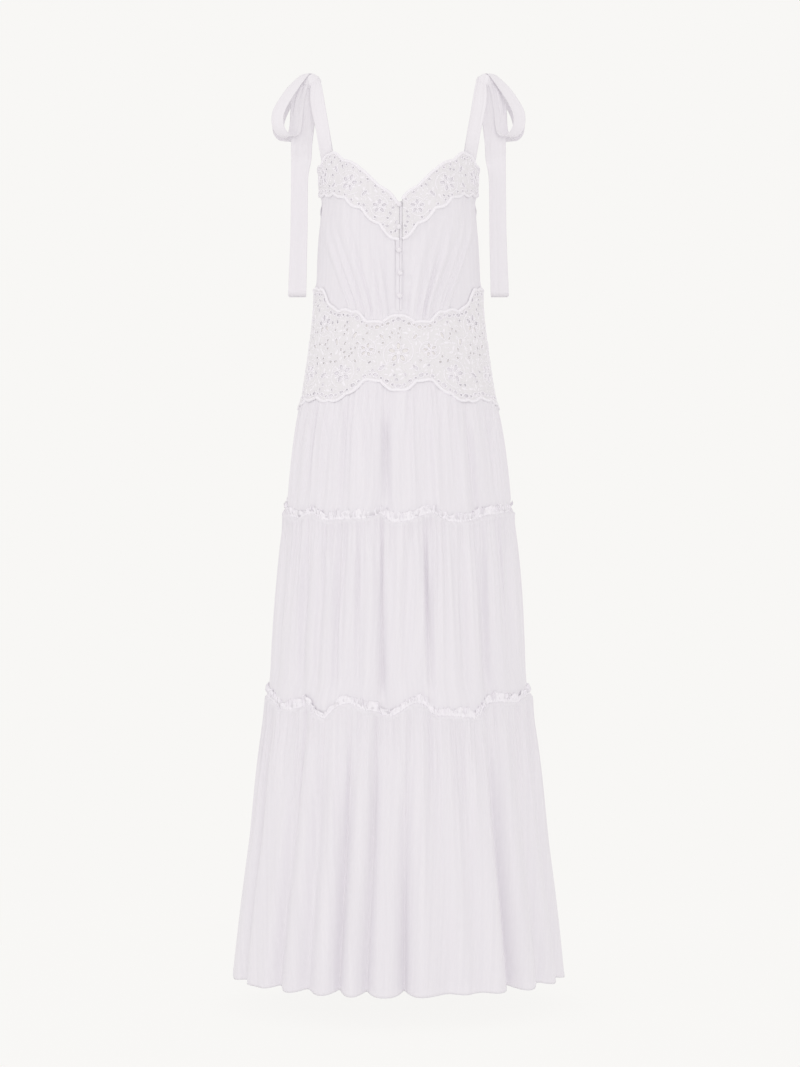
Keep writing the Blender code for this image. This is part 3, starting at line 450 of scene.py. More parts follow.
TIERS = {
    "first": {"front": FIRST_TIER_FRONT, "back": back_folds(FIRST_TIER_FRONT, 11)},
    "second": {"front": SECOND_TIER_FRONT, "back": back_folds(SECOND_TIER_FRONT, 12)},
    "third": {"front": THIRD_TIER_FRONT, "back": back_folds(THIRD_TIER_FRONT, 13)},
}
SEAMS = {
    "first": (FIRST_SEAM_Z, FIRST_SEAM_WAVES, FIRST_SEAM_PATH),
    "second": (SECOND_SEAM_Z, SECOND_SEAM_WAVES, SECOND_SEAM_PATH),
}


def seam(name, angle):
    """Height of a tier seam and how far out it stands."""
    z, slow_waves, path = SEAMS[name]
    out, drop = seam_offset(slow_waves, angle)
    round_back = np.radians(angle - 90)
    ripple = sum(rise * np.sin(waves * round_back + k * z) for k, (rise, waves) in enumerate(BACK_RIPPLES, 1))
    behind = z - drop + ripple * smooth((90 - np.abs(angle - 180)) / BACK_RIPPLE_START)
    return np.where(np.abs(angle) <= 90, through(path[:, 0], path[:, 1], angle), behind), out


def tier_ends(tier, angle):
    flat = np.zeros_like(angle)
    if tier == "first":
        return (flat + HIP_Z, flat), seam("first", angle)
    if tier == "second":
        return seam("first", angle), seam("second", angle)
    return seam("second", angle), (flat + HEM_Z, flat)


def tier_points(tier, side, angle, v, out=0.0, lower=0.0, extra_along=0.0):
    """Points of a tier's inner face, v from 0 at its top to 1 at its bottom, moved out and down."""
    angle, v = np.broadcast_arrays(np.asarray(angle, float), np.asarray(v, float))
    (top_z, top_out), (bottom_z, bottom_out) = tier_ends(tier, angle)
    fold_out, along = fold_offset(TIERS[tier][side], angle, v)
    start, opening = FOLDS_OPEN[tier]
    share = smooth((v - start) / opening)
    if tier != "third":
        share = share * (1 - smooth((v - FOLDS_CLOSE) / (1 - FOLDS_CLOSE)))
    z = lerp(top_z, bottom_z, v) - lower
    moved = out + lerp(top_out, bottom_out, v) + share * fold_out
    return body(angle, z, moved, share * along + extra_along)


# Cloth that lies close behind the laces, so that it shows in their eyelets

# How far past a lace's lower and upper edge the cloth still stands out
WAIST_BED_FADE = (16 * MM, 12 * MM)
BUST_BED_FADE = 12 * MM
BUST_BED_START = (2.0, 0.5)  # angle from the centre where it starts, and degrees that it takes


def waist_bed(angle, z):
    """Share, 0 to 1, to which a place is behind the waist lace or just past its edges."""
    turn = np.abs(np.where(np.abs(angle) <= 90, angle, np.abs(angle) - 180))
    upper = through(WAIST_LACE_UPPER_EDGE[:, 0], WAIST_LACE_UPPER_EDGE[:, 1], turn)
    lower = through(WAIST_LACE_LOWER_EDGE[:, 0], WAIST_LACE_LOWER_EDGE[:, 1], turn)
    below, above = WAIST_BED_FADE
    return smooth((z - lower + below) / below) * smooth((upper + above - z) / above)


def bust_bed(angle, z):
    lower = through(BUST_LACE_LOWER_EDGE[:, 0], BUST_LACE_LOWER_EDGE[:, 1], np.abs(angle))
    start, width = BUST_BED_START
    return smooth((z - lower + BUST_BED_FADE) / BUST_BED_FADE) * smooth((np.abs(angle) - start) / width)


# Meshes


def uv_of(points):
    """Distances in metres along the rows and down the columns of a grid of points."""
    across = np.linalg.norm(np.diff(points, axis=1), axis=-1)
    down = np.linalg.norm(np.diff(points, axis=0), axis=-1)
    u = np.concatenate([np.zeros((points.shape[0], 1)), np.cumsum(across, 1)], 1)
    w = np.concatenate([np.zeros((1, points.shape[1])), np.cumsum(down, 0)], 0)
    return np.stack([u - u[:, -1:] / 2, -w], -1)


def mesh_object(name, verts, faces, uvs, material):
    """An object from points, faces and a flat place in metres for each point."""
    mesh = bpy.data.meshes.new(name)
    mesh.from_pydata(np.asarray(verts).tolist(), [], np.asarray(faces).tolist())
    corners = np.zeros(len(mesh.loops), np.int32)
    mesh.loops.foreach_get("vertex_index", corners)
    layer = mesh.uv_layers.new(name="flat")
    layer.data.foreach_set("uv", np.asarray(uvs, np.float32)[corners].ravel())
    mesh.materials.append(material)
    mesh.shade_smooth()
    mesh.update()
    made = bpy.data.objects.new(name, mesh)
    bpy.context.scene.collection.objects.link(made)
    return made


def grid_faces(rows, columns, first=0):
    index = first + np.arange(rows * columns).reshape(rows, columns)
    return np.stack([index[:-1, :-1], index[1:, :-1], index[1:, 1:], index[:-1, 1:]], -1).reshape(-1, 4)


def thicken(made, thickness):
    wall = made.modifiers.new("wall", "SOLIDIFY")
    wall.thickness = thickness
    wall.offset = 1.0
    return made


def shell(name, points, material, thickness=SHELL):
    """A thin wall of cloth on a grid of points, its outer face away from them."""
    faces = grid_faces(*points.shape[:2])
    made = mesh_object(name, points.reshape(-1, 3), faces, uv_of(points).reshape(-1, 2), material)
    return thicken(made, thickness)


def finish_piece(piece, slot, *nodes):
    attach(piece, "root")
    if nodes:
        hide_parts(*nodes)
    return piece


# Materials

# Strength of the painted glow: a faint even emission that stands for the light that comes through thin cloth from
# behind, and lifts the shade in folds and crevices; the ties get the most, to lighten the shade in their bow
PAINTED_GLOW_VOILE = 0.10
PAINTED_GLOW_TIE = 0.22
PAINTED_GLOW_LACE = 0.06
WAVE_TURN = 2 * math.pi / 20  # distance at which a wave texture of scale 1 repeats
CREASE_PITCH = (150, 4, 1)
SLUB_PITCH = (1500, 60, 1)


def set_inputs(node, inputs):
    """Gives a node's inputs their values. A value that is another node's output is linked."""
    for name, value in inputs.items():
        if isinstance(value, bpy.types.NodeSocket):
            node.id_data.links.new(value, node.inputs[name])
        else:
            node.inputs[name].default_value = value


def add_node(tree, kind, inputs):
    node = tree.nodes.new(kind)
    set_inputs(node, inputs)
    return node


def product(tree, first, second):
    node = add_node(tree, "ShaderNodeMath", {0: first, 1: second})
    node.operation = "MULTIPLY"
    return node.outputs["Value"]


def bands(tree, direction, inputs):
    node = add_node(tree, "ShaderNodeTexWave", inputs)
    node.bands_direction = direction
    return node.outputs["Fac"]


def bump(tree, inputs):
    return add_node(tree, "ShaderNodeBump", inputs).outputs["Normal"]


def colour_ramp(tree, share, *stops):
    """A colour between two, each given with the share at which it stands."""
    node = tree.nodes.new("ShaderNodeValToRGB")
    for element, (position, colour) in zip(node.color_ramp.elements, stops):
        element.position = position
        element.color = (*colour, 1)
    set_inputs(node, {"Fac": share})
    return node.outputs["Color"]


def cotton(name, colour, painted_glow, roughness, specular, sheen, sheen_roughness):
    """A new material with its node tree, its shader and its flat places."""
    material = bpy.data.materials.new(name)
    material.use_nodes = True
    tree = material.node_tree
    shader = tree.nodes["Principled BSDF"]
    set_inputs(shader, {
        "Roughness": roughness,
        "Metallic": 0.0,
        "Specular IOR Level": specular,
        "Sheen Weight": sheen,
        "Sheen Roughness": sheen_roughness,
        # Emission: the painted glow, light painted into the cloth to lift its shade
        "Emission Color": (*colour, 1),
        "Emission Strength": painted_glow,
    })
    flat = tree.nodes.new("ShaderNodeUVMap")
    flat.uv_map = "flat"
    return material, tree, shader, flat.outputs["UV"]


def cloth_material(name, light, dark, thread, crinkle=0.16, sheen=0.2, painted_glow=PAINTED_GLOW_VOILE):
    """Plain woven cotton: threads, soft creases and a faint unevenness of colour, on flat places in metres."""
    material, tree, shader, flat = cotton(name, light, painted_glow, 0.85, 0.25, sheen, 0.5)
    weave = {"Vector": flat, "Scale": WAVE_TURN / thread, "Distortion": 0.6, "Detail Scale": 0.3}
    woven = product(tree, bands(tree, "X", weave), bands(tree, "Y", weave))
    noises = []
    for pitch, detail in ((CREASE_PITCH, 1.5), (SLUB_PITCH, 2.0)):
        stretched = add_node(tree, "ShaderNodeMapping", {"Vector": flat, "Scale": pitch}).outputs["Vector"]
        noise = {"Vector": stretched, "Scale": 1.0, "Detail": detail}
        noises.append(add_node(tree, "ShaderNodeTexNoise", noise).outputs["Fac"])
    fine = bump(tree, {"Strength": 0.25, "Distance": 0.12 * MM, "Height": woven})
    coarse = bump(tree, {"Strength": crinkle, "Distance": 1.2 * MM, "Height": noises[0], "Normal": fine})
    mottled = colour_ramp(tree, product(tree, *noises), (0.12, dark), (0.42, light))
    set_inputs(shader, {"Base Color": mottled, "Normal": coarse})
    return material


def thread_material(name, light, dark, thread):
    """Satin stitches: threads side by side across the stitched band."""
    material, tree, shader, flat = cotton(name, light, PAINTED_GLOW_LACE, 0.6, 0.3, 0.3, 0.4)
    threads = bands(tree, "X", {"Vector": flat, "Scale": WAVE_TURN / thread, "Distortion": 0.8})
    noise = add_node(tree, "ShaderNodeTexNoise", {"Vector": flat, "Scale": 400.0, "Detail": 3.0}).outputs["Fac"]
    fine = bump(tree, {"Strength": 0.25, "Distance": 0.2 * MM, "Height": threads})
    set_inputs(shader, {"Base Color": colour_ramp(tree, noise, (0.3, dark), (0.6, light)), "Normal": fine})
    return material


VOILE = cloth_material("cotton_voile", (0.733, 0.708, 0.745), (0.694, 0.669, 0.709), 0.45 * MM)
# The frills are the tiers' voile painted lighter: a painted highlight for the light that their standing puffs catch
PAINTED_LIGHT_FRILL_VOILE = cloth_material("frill_voile_painted_lighter", (0.805, 0.780, 0.818), (0.760, 0.735, 0.774), 0.45 * MM)
# The ties take the strongest painted glow, which lightens the shade between the loops, tails and straps
RIBBON = cloth_material("tie_cloth", (0.676, 0.654, 0.684), (0.648, 0.625, 0.655), 0.45 * MM, painted_glow=PAINTED_GLOW_TIE)
LINING = cloth_material("ivory_lining", (0.77, 0.745, 0.738), (0.742, 0.713, 0.706), 0.5 * MM, 0.1)
BATISTE = cloth_material(
    "embroidered_batiste", (0.750, 0.729, 0.753), (0.712, 0.689, 0.712), 0.4 * MM, 0.12, painted_glow=PAINTED_GLOW_LACE
)
SATIN = thread_material("satin_stitch", (0.818, 0.793, 0.832), (0.778, 0.752, 0.79), 0.45 * MM)
BUTTON = cloth_material(
    "covered_button", (0.78, 0.753, 0.79), (0.74, 0.715, 0.75), 0.4 * MM, 0.05, 0.3, PAINTED_GLOW_LACE
)


# Gathers: narrow ridges of uneven depth, width and length that start at a seam

GATHER_STRAY = 0.35  # in pitches
GATHER_LEAN = 1.0  # in degrees
SIDE_RIDGE_OUT = 0.5 * MM
SIDE_RIDGE_WIDTH = 0.6


def make_gathers(seed, first, last, count, depth, width, length):
    """Rows of the angle at the seam and at the far end, depth, width and length."""
    chance = np.random.default_rng(seed)
    pitch = (last - first) / count
    middle = first + pitch * (np.arange(count) + 0.5) + chance.uniform(-GATHER_STRAY, GATHER_STRAY, count) * pitch
    return np.stack([
        middle,
        middle + chance.uniform(-GATHER_LEAN, GATHER_LEAN, count),
        chance.uniform(*depth, count) * MM,
        chance.uniform(*width, count) * pitch,
        chance.uniform(*length, count),
    ], 1)


def gather_offset(gathers, angle, v):
    """How far out the gathers stand at places on a panel, v going from 0 at their seam to 1."""
    out = np.zeros(np.broadcast(angle, v).shape)
    opened = smooth(v / 0.02)
    for middle, lower, depth, width, length in gathers:
        x = (angle - lerp(middle, lower, v)) / (width * (1 + 0.5 * v))
        fade = 1 - smooth((v - 0.25 * length) / (0.75 * length))
        out += depth * bell(x) * fade
    return out * opened


def from_side(angle, side):
    """Degrees from the nearer side seam."""
    return 90 - np.abs(angle - (0 if side == "front" else 180))


def side_fade(angle, side, reach=5.0):
    """0 at the side seams and 1 away from them."""
    return smooth(from_side(angle, side) / reach)


def side_ridge(angle, side):
    return SIDE_RIDGE_OUT * bell(from_side(angle, side) / SIDE_RIDGE_WIDTH)


def wander(seed, v, reach):
    """A slow sideways drift of a fold down a panel, in degrees."""
    chance = random.Random(seed)
    a, b = chance.uniform(0, 2 * math.pi), chance.uniform(0, 2 * math.pi)
    return reach * (np.sin(2.6 * v + a) - math.sin(a) + 0.4 * (np.sin(7.1 * v + b) - math.sin(b)))


# The skirt

TIER_ROWS = {"first": 26, "second": 28, "third": 34}
GATHERS = {
    # fine gathers, then middling ones: count, depth in mm, width in pitches, length
    "first": ((60, (1.6, 3.8), (0.26, 0.44), (0.5, 2.2)), (19, (1.2, 3.4), (0.25, 0.45), (0.9, 2.6))),
    "second": ((68, (2.0, 4.8), (0.26, 0.44), (0.2, 1.3)), (22, (1.6, 4.6), (0.22, 0.42), (0.7, 2.4))),
    "third": ((80, (1.8, 4.8), (0.26, 0.44), (0.1, 0.9)), (25, (1.8, 6.0), (0.22, 0.42), (0.5, 2.0))),
}
SEEDS = {"first": 21, "second": 32, "third": 43}
BACK_SEED = 100  # added behind
TIER_HEIGHTS = {"second": FIRST_SEAM_Z - SECOND_SEAM_Z, "third": SECOND_SEAM_Z - HEM_Z}
SEAM_BULGE = (1.8 * MM, 5.5 * MM, 3.2 * MM)  # height, distance below the seam, and half width
TOP_ROWS = [0.0, 0.006, 0.014, 0.024]
HEM_ROWS = [0.985, 0.9875, 0.99, 1.0]
HEM_STITCH_ROW = 0.9845
HEM_OUT = 0.45 * MM  # how far the turned hem stands out
HEM_SWING = 0.3  # how much lower a ridge of the bottom tier hangs, as a share of its depth
CALM_FROM = 0.93  # share of the height from which the upper tiers' gathers lie down towards the seam


def tier_relief(tier, side, angle, v):
    first = -90 if side == "front" else 90
    seed = SEEDS[tier] + (0 if side == "front" else BACK_SEED)
    total = np.zeros(np.broadcast(angle, v).shape)
    for k, (count, depth, width, length) in enumerate(GATHERS[tier]):
        gathers = make_gathers(seed + k, first, first + 180, count, depth, width, length)
        mean = 0.25 * sum(depth) * MM
        total += gather_offset(gathers, angle, v) - mean * smooth(v / 0.1) * (1 - smooth(v))
    if tier != "first":
        bulge, below, width = SEAM_BULGE
        total += bulge * bell((v * TIER_HEIGHTS[tier] - below) / width)
    return total * side_fade(angle, side)


def hem_drop(tier, side, angle, v):
    """How much lower the cloth hangs on the ridges of the bottom tier's folds than in between."""
    if tier != "third":
        return 0.0
    return HEM_SWING * fold_offset(TIERS[tier][side], angle, v)[0] * v**3


def make_tier(tier, side):
    first = -90.0 if side == "front" else 90.0
    angle = np.linspace(first, first + 180, TIER_COLUMNS[side] + 1)[None, :]
    v = np.linspace(0, 1, TIER_ROWS[tier] + 1)
    if tier != "first":
        v = np.concatenate([TOP_ROWS, v[1:]])
    if tier == "third":
        v = np.concatenate([v[:-1], HEM_ROWS])
    v = v[:, None]
    relief = tier_relief(tier, side, angle, v) + side_ridge(angle, side)
    if tier == "third":
        relief = relief + HEM_OUT * smooth((v - 0.9835) / 0.003) * (1 - smooth((v - 0.9985) / 0.003))
    else:
        relief = relief * (1 - 0.9 * smooth((v - CALM_FROM) / 0.05))
    lower = SEAM_GAP * (1 - smooth(v / 0.02))
    drift = wander(SEEDS[tier] + len(side), v, 0.35) * side_fade(angle, side, 12)
    if tier == "first":
        z = lerp(HIP_Z, seam("first", angle)[0], v)
        bed = waist_bed(angle, z)
        relief = relief * (1 - 0.85 * bed) + WAIST_BED_OUT * bed
    lower = lower + hem_drop(tier, side, angle + drift, v)
    points = tier_points(tier, side, angle + drift, v, SHELL_OUT + relief, lower)
    return shell(f"sewn_{tier}_tier_{side}", points, VOILE)


# Frills: the gathered headings that stand up on the two seams

FRILL_HEIGHT = 15 * MM
FRILL_BELOW = 1.8 * MM
FRILL_FOOT_OUT = 1.0 * MM
FRILL_RUFFLES = {"first": 62, "second": 76}
FRILL_STEPS = 9
FRILL_LEVELS = np.array([-0.12, 0.0, 0.1, 0.26, 0.44, 0.62, 0.8, 0.93, 1.0])
FRILL_SEED = 500
# Ranges along a frill of its height and depth as shares, of its slow flare, and of its lean and sag in mm
FRILL_TALL = (0.5, 1.15)
FRILL_DEEP = (0.3, 1.4)
FRILL_FLARE = (0.0, 1.3)
FRILL_LEAN = (-2.6, 2.6)
FRILL_SAG = (-0.4, 1.5)
# Depths in mm of its puffs, ruffles, puckers at the foot, and crumples
PUFF, RUFFLE, PUCKER, CRUMPLE = 2.2, 2.0, 1.3, 0.9


def make_frill(tier, name, side):
    """A gathered heading that stands up from a seam in crumpled puffs of uneven height and depth."""
    chance = np.random.default_rng(SEEDS[tier] + len(side) + FRILL_SEED)
    count = FRILL_RUFFLES[tier]
    columns = count * FRILL_STEPS
    first = -90.0 if side == "front" else 90.0
    angle = np.linspace(first, first + 180, columns + 1)
    knots = np.arange(count + 1)
    place = np.linspace(0, count, columns + 1)

    def uneven_along(low, high, step=1):
        return np.interp(place, knots[::step], chance.uniform(low, high, len(knots[::step])))

    def waves(rate, rise=0.0, phase=0.0):
        return np.sin(2 * math.pi * (rate * uneven + rise * u) + phase)

    u = FRILL_LEVELS[:, None]
    up = np.clip(u, 0, 1)
    uneven = place + uneven_along(-0.35, 0.35)
    tall, deep, slow = uneven_along(*FRILL_TALL), uneven_along(*FRILL_DEEP), uneven_along(*FRILL_FLARE, 5)
    leaning, sag = uneven_along(*FRILL_LEAN) * MM, uneven_along(*FRILL_SAG, 3) * MM
    wave = waves(1)
    crumple = waves(1.83, 0.9, 1.0) * waves(0.61, -0.7)
    (top_z, _), (bottom_z, _) = tier_ends(tier, angle)
    rise = np.where(u < 0, u / -FRILL_LEVELS[0] * FRILL_BELOW, u * FRILL_HEIGHT * tall)
    v = 1 - np.maximum(rise, 0) / (top_z - bottom_z)
    spread = smooth(u / 0.4)
    flare = (0.2 + 2.4 * slow) * up**1.3
    puff = PUFF * deep * np.sin(math.pi * up**1.5) * (0.55 + 0.45 * wave)
    ruffle = RUFFLE * deep * wave * smooth((u - 0.1) / 0.5)
    pucker = PUCKER * deep * (0.5 + 0.5 * waves(1.7)) * (1 - smooth(np.abs(u) / 0.3))
    out = FRILL_FOOT_OUT + (flare + puff + ruffle + pucker + CRUMPLE * crumple * spread) * MM
    along = (leaning + 1.3 * MM * np.cos(2 * math.pi * uneven) * deep) * spread * side_fade(angle, side, 1.0)
    drop = np.maximum(-rise, 0) + sag * (1 - smooth(u)) + 0.8 * MM * bell((u - 1.0) / 0.25) * (1 - wave)
    drop = drop + 1.3 * MM * np.abs(np.sin(math.pi * 1.3 * uneven)) * (1 - smooth(u / 0.3))
    points = tier_points(tier, side, angle + 0 * u, v, np.maximum(out, FRILL_FOOT_OUT), drop, along)
    return shell(f"sewn_{name}_frill_{side}", points, PAINTED_LIGHT_FRILL_VOILE, 0.4 * MM)


# The bodice

BODICE_SEEDS = {"left": 61, "right": 62, "back": 71}
# Creases: first and last angle and count, then the ranges of stray, depth in mm, length and width
WAIST_CREASES = ((16, 72, 13), 1.6, (1.2, 3.2), (0.5, 1.1), (1.3, 2.4))
BUST_CREASES = ((24, 84, 8), 2.0, (0.4, 1.2), (0.2, 0.45), (2.0, 3.2))
BACK_CREASES = ((91, 269, 66), 0.7, (0.6, 1.7), (0.25, 0.6), (0.75, 1.15))
BESIDE_PLACKET_OUT = 1.5 * MM
BESIDE_PLACKET_ANGLES = {"left": 2.35, "right": 2.05}
LINING_LOWER = (0.15 * MM, 0.45 * MM)  # how far below the waist and hip seams its edges are


def front_top(angle):
    return through(NECK_EDGE[:, 0], NECK_EDGE[:, 1], angle) - LACE_ABOVE_TOP


def drawn_creases(chance, table):
    """The angle, depth, length and width of each crease."""
    ends, stray, *ranges = table
    for middle in np.linspace(*ends):
        middle = middle + chance.uniform(-stray, stray)
        deep, reach, width = (chance.uniform(*each) for each in ranges)
        yield middle, deep * MM, reach, width


def make_bodice_front(side):
    """A half of the front on a grid, q from the centre to the side and h from the waist to the top edge."""
    sign = 1 if side == "left" else -1
    chance = np.random.default_rng(BODICE_SEEDS[side])
    spread = FRONT_GATHER_END - FRONT_GATHER_START
    q = np.linspace(0, 90, 201)[None, :]
    h = np.linspace(1, 0, 51)[:, None]
    pull = lerp(GATHER_PULL, 1.0, smooth(h / 0.75))
    end = FRONT_GATHER_END
    angle = np.where(q <= end, q * pull, lerp(end * pull, 90, (q - end) / (90 - end)))
    depth = FRONT_GATHER_DEPTH * lerp(0.5, 1.0, smooth(h / 0.4)) * (1 - smooth((h - 0.35) / 0.4))
    phase = (q - FRONT_GATHER_START) / spread * FRONT_GATHERS
    inside = (phase > 0) & (phase < FRONT_GATHERS)
    out = np.where(inside, depth * 0.5 * (1 - np.cos(2 * math.pi * phase)), 0.0) - 0.5 * depth
    fine = np.zeros(np.broadcast(q, h).shape)
    for middle, deep, reach, width in drawn_creases(chance, WAIST_CREASES):
        fine += deep * bell((q - middle) / (width * (1 + h))) * (1 - smooth((h - 0.2 * reach) / (0.8 * reach)))
    for middle, deep, reach, width in drawn_creases(chance, BUST_CREASES):
        shown = smooth((h - 0.7 + reach) / 0.3) * smooth((1 - h) / 0.3)
        fine += deep * bell((q - middle) / width) * shown
    z = lerp(WAIST_Z, front_top(angle), h)
    waist, bust = waist_bed(angle, z), bust_bed(angle, z)
    calm = smooth((90 - q) / 6) * (1 - 0.8 * waist) * (1 - 0.9 * bust)
    past_placket = smooth((q - BESIDE_PLACKET_ANGLES[side]) / 0.4) * (1 - smooth((q - 5) / 7))
    beside_placket = BESIDE_PLACKET_OUT * past_placket * (1 - waist) * (1 - bust)
    raised = WAIST_BED_OUT * waist + BUST_BED_OUT * bust + beside_placket
    points = body(sign * angle, z, SHELL_OUT + (out + fine) * calm + raised)
    if sign < 0:
        points = points[:, ::-1]
    return shell(f"sewn_bodice_front_{side}", points, VOILE)


def back_top(angle):
    return NECK_EDGE[-1, 1] - BACK_NECK_DROP * np.abs(np.cos(np.radians(angle))) ** 1.5


def make_bodice_back():
    chance = np.random.default_rng(BODICE_SEEDS["back"])
    angle = np.linspace(90, 270, 301)[None, :]
    h = np.concatenate([np.linspace(1, 0.55, 37), np.linspace(0.53, 0, 14)])[:, None]
    z = lerp(WAIST_Z, back_top(angle), h)
    level = lerp(WAIST_Z, NECK_EDGE[-1, 1], h)
    ridge = sum(out * bell((level - at) / CASING_HEIGHT) for at, out in CASINGS)
    shirred = np.zeros(np.broadcast(angle, h).shape)
    for middle, deep, reach, width in drawn_creases(chance, BACK_CREASES):
        shirred += deep * bell((angle - middle) / width) * smooth((h - 0.72 + reach) / 0.35)
    pinch = 1 - 0.75 * sum(
        bell((level - at - side * CASING_HEIGHT) / (1.6 * MM)) for at, _ in CASINGS for side in (-1, 1)
    )
    fade = side_fade(angle, "back", 3.0)
    bed = waist_bed(angle, z)
    relief = ridge + (shirred * pinch - 0.5 * MM) * fade
    points = body(angle, z, SHELL_OUT + relief * (1 - 0.85 * bed) + WAIST_BED_OUT * bed)
    return shell("sewn_bodice_back", points, VOILE)


def make_lining(side):
    first = -90.0 if side == "front" else 90.0
    angle = np.linspace(first, first + 180, 121)[None, :]
    top, bottom = LINING_LOWER
    z = np.linspace(WAIST_Z - top, HIP_Z - bottom, 15)[:, None]
    return shell(f"sewn_waist_lining_{side}", body(angle, z, SHELL_OUT + WAIST_BED_OUT + 0 * angle), LINING)


# Lace

LACE_SEEDS = {
    "waist_lace_front": 81, "waist_lace_back": 82, "bust_lace_left": 91, "bust_lace_right": 92,
}
LACE_CLOTH = 0.4 * MM
LACE_PITCH = 3.6 * MM  # of the points between its outline and holes
MOTIF_PITCH = 7.6 * MM
EYELET_GAP = 1.5 * MM  # least cloth between eyelets, and beside a lace's ends
# Width and height of bands of stitches
RIM = (2.2 * MM, 1.4 * MM)
SMALL_RIM = (1.6 * MM, 0.95 * MM)
EDGE_BAND = (5.6 * MM, 2.2 * MM)
SCROLL_BAND = (2.2 * MM, 1.1 * MM)
STEM_BAND = (2.0 * MM, 1.0 * MM)


class Oval:
    """The oval that a lace's distances are measured round, and how far out from the body it lies."""

    def __init__(self, half_width, depth, out, middle=0):
        self.out, self.middle = out, middle
        t = np.radians(np.arange(1, 91) - 0.5)
        steps = np.radians(1) * np.hypot(half_width * np.cos(t), depth * np.sin(t))
        self.across = np.concatenate([[0.0], np.cumsum(steps)])
        self.quarter = self.across[-1]

    def angle(self, across):
        across = np.asarray(across, float)
        return np.copysign(through(self.across, np.arange(91.0), np.abs(across)), across)

    def place(self, flat, lift=0.0):
        """Points on the garment for flat places, distance across and height, lifted off the lace."""
        flat = np.asarray(flat, float)
        return body(self.middle + self.angle(flat[..., 0]), flat[..., 1], self.out + lift)


def edge_of(rows, oval, scallops=0, rise=0.0):
    def edge(across):
        wave = np.abs(np.sin(math.pi * scallops * np.asarray(across) / oval.quarter)) - 0.5 if scallops else 0.0
        return through(rows[:, 0], rows[:, 1], np.abs(oval.angle(across))) + rise * wave

    return edge


def pointed_oval(hole, count=16, wider=0.0):
    """A pointed oval ring in flat places, made wider all round by a distance."""
    across, height, length, width, turn = hole
    a = 2 * math.pi * np.arange(count) / count
    u = (length + wider) * np.cos(a)
    w = (width + wider) * np.sin(a) * (1 - 0.18 * np.abs(np.cos(a)) ** 3)
    t = math.radians(turn)
    return np.stack([across + u * math.cos(t) - w * math.sin(t), height + u * math.sin(t) + w * math.cos(t)], -1)


class Relief:
    """Raised stitching on a lace, gathered into one mesh. Points are flat places with a lift."""

    def __init__(self, oval):
        self.oval = oval
        self.points, self.uvs, self.faces, self.count = [], [], [], 0

    def grid(self, flat, lift, uv, around=False):
        rows, columns = flat.shape[:2]
        self.points.append(self.oval.place(flat, lift).reshape(-1, 3))
        self.uvs.append(np.asarray(uv).reshape(-1, 2))
        self.faces.append(grid_faces(rows, columns, self.count))
        if around:
            index = self.count + np.arange(rows * columns).reshape(rows, columns)
            seam_faces = [index[-1, :-1], index[0, :-1], index[0, 1:], index[-1, 1:]]
            self.faces.append(np.stack(seam_faces, -1))
        self.count += rows * columns

    def ridge(self, path, width, height, tapered=True):
        """A rounded band of stitches along a flat path."""
        path = np.asarray(path, float)
        heading = np.gradient(path, axis=0)
        heading /= np.linalg.norm(heading, axis=1)[:, None]
        normal = np.stack([-heading[:, 1], heading[:, 0]], -1)
        along = np.concatenate([[0], np.cumsum(np.linalg.norm(np.diff(path, axis=0), axis=1))])
        ends = np.minimum(along, along[-1] - along) / width if tapered else np.ones(len(path))
        size = np.sqrt(np.clip(ends, 0.02, 1.0))[:, None]
        across = np.array([-0.5, -0.4, -0.15, 0.15, 0.4, 0.5])[None, :]
        rise = np.array([-0.25, 0.55, 1.0, 1.0, 0.55, -0.25])[None, :]
        flat = path[:, None, :] + normal[:, None, :] * (across * size * width)[..., None]
        uv = np.stack(np.broadcast_arrays(along[:, None], across * width), -1)
        self.grid(flat, rise * height * size, uv)

    def rim(self, hole, width=RIM[0], height=RIM[1], count=14):
        """A band of stitches round an eyelet."""
        outs = np.array([-0.08, 0.06, 0.3, 0.6, 0.9, 1.0]) * width
        lifts = np.array([-0.6, 0.35, 0.95, 1.0, 0.5, -0.25]) * height
        flat = np.stack([pointed_oval(hole, count, wider) for wider in outs], 1)
        around = 2 * math.pi * np.arange(count) / count * (hole[2] + hole[3]) / 2
        uv = np.stack(np.broadcast_arrays(around[:, None], outs[None, :]), -1)
        self.grid(flat, np.broadcast_to(lifts[None, :], (count, 6)), uv, around=True)

    def pad(self, hole, height=0.8 * MM, count=12):
        """A padded leaf or dot of stitches."""
        shares = np.array([0.02, 0.45, 0.75, 0.93, 1.0])
        across, up, length, width, turn = hole
        rings = [pointed_oval((across, up, length * s, width * s, turn), count) for s in shares]
        lifts = height * np.array([1.0, 0.86, 0.58, 0.25, -0.2])
        flat = np.stack(rings, 1)
        a = 2 * math.pi * np.arange(count) / count
        uv = np.stack([np.cos(a)[:, None] * length * shares, np.sin(a)[:, None] * width * shares], -1)
        self.grid(flat, np.broadcast_to(lifts[None, :], (count, 5)), uv, around=True)

    def object(self, name):
        points, faces, uvs = (np.concatenate(parts) for parts in (self.points, self.faces, self.uvs))
        return mesh_object(name, points, faces, uvs, SATIN)


def flower_holes(flowers):
    holes = []
    for across, height, size, turn in flowers:
        for k in range(PETALS):
            toward = turn + 360 * k / PETALS
            a = math.radians(toward)
            reach = PETAL_DISTANCE * size
            holes.append((across + reach * math.cos(a), height + reach * math.sin(a),
                          PETAL_LENGTH * size, PETAL_WIDTH * size, toward))
    return holes


def both_sides(rows, turn_at=3):
    made = list(rows)
    for row in rows:
        if row[0]:
            row = list(row)
            row[0], row[turn_at] = -row[0], 180 - row[turn_at]
            made.append(tuple(row))
    return made


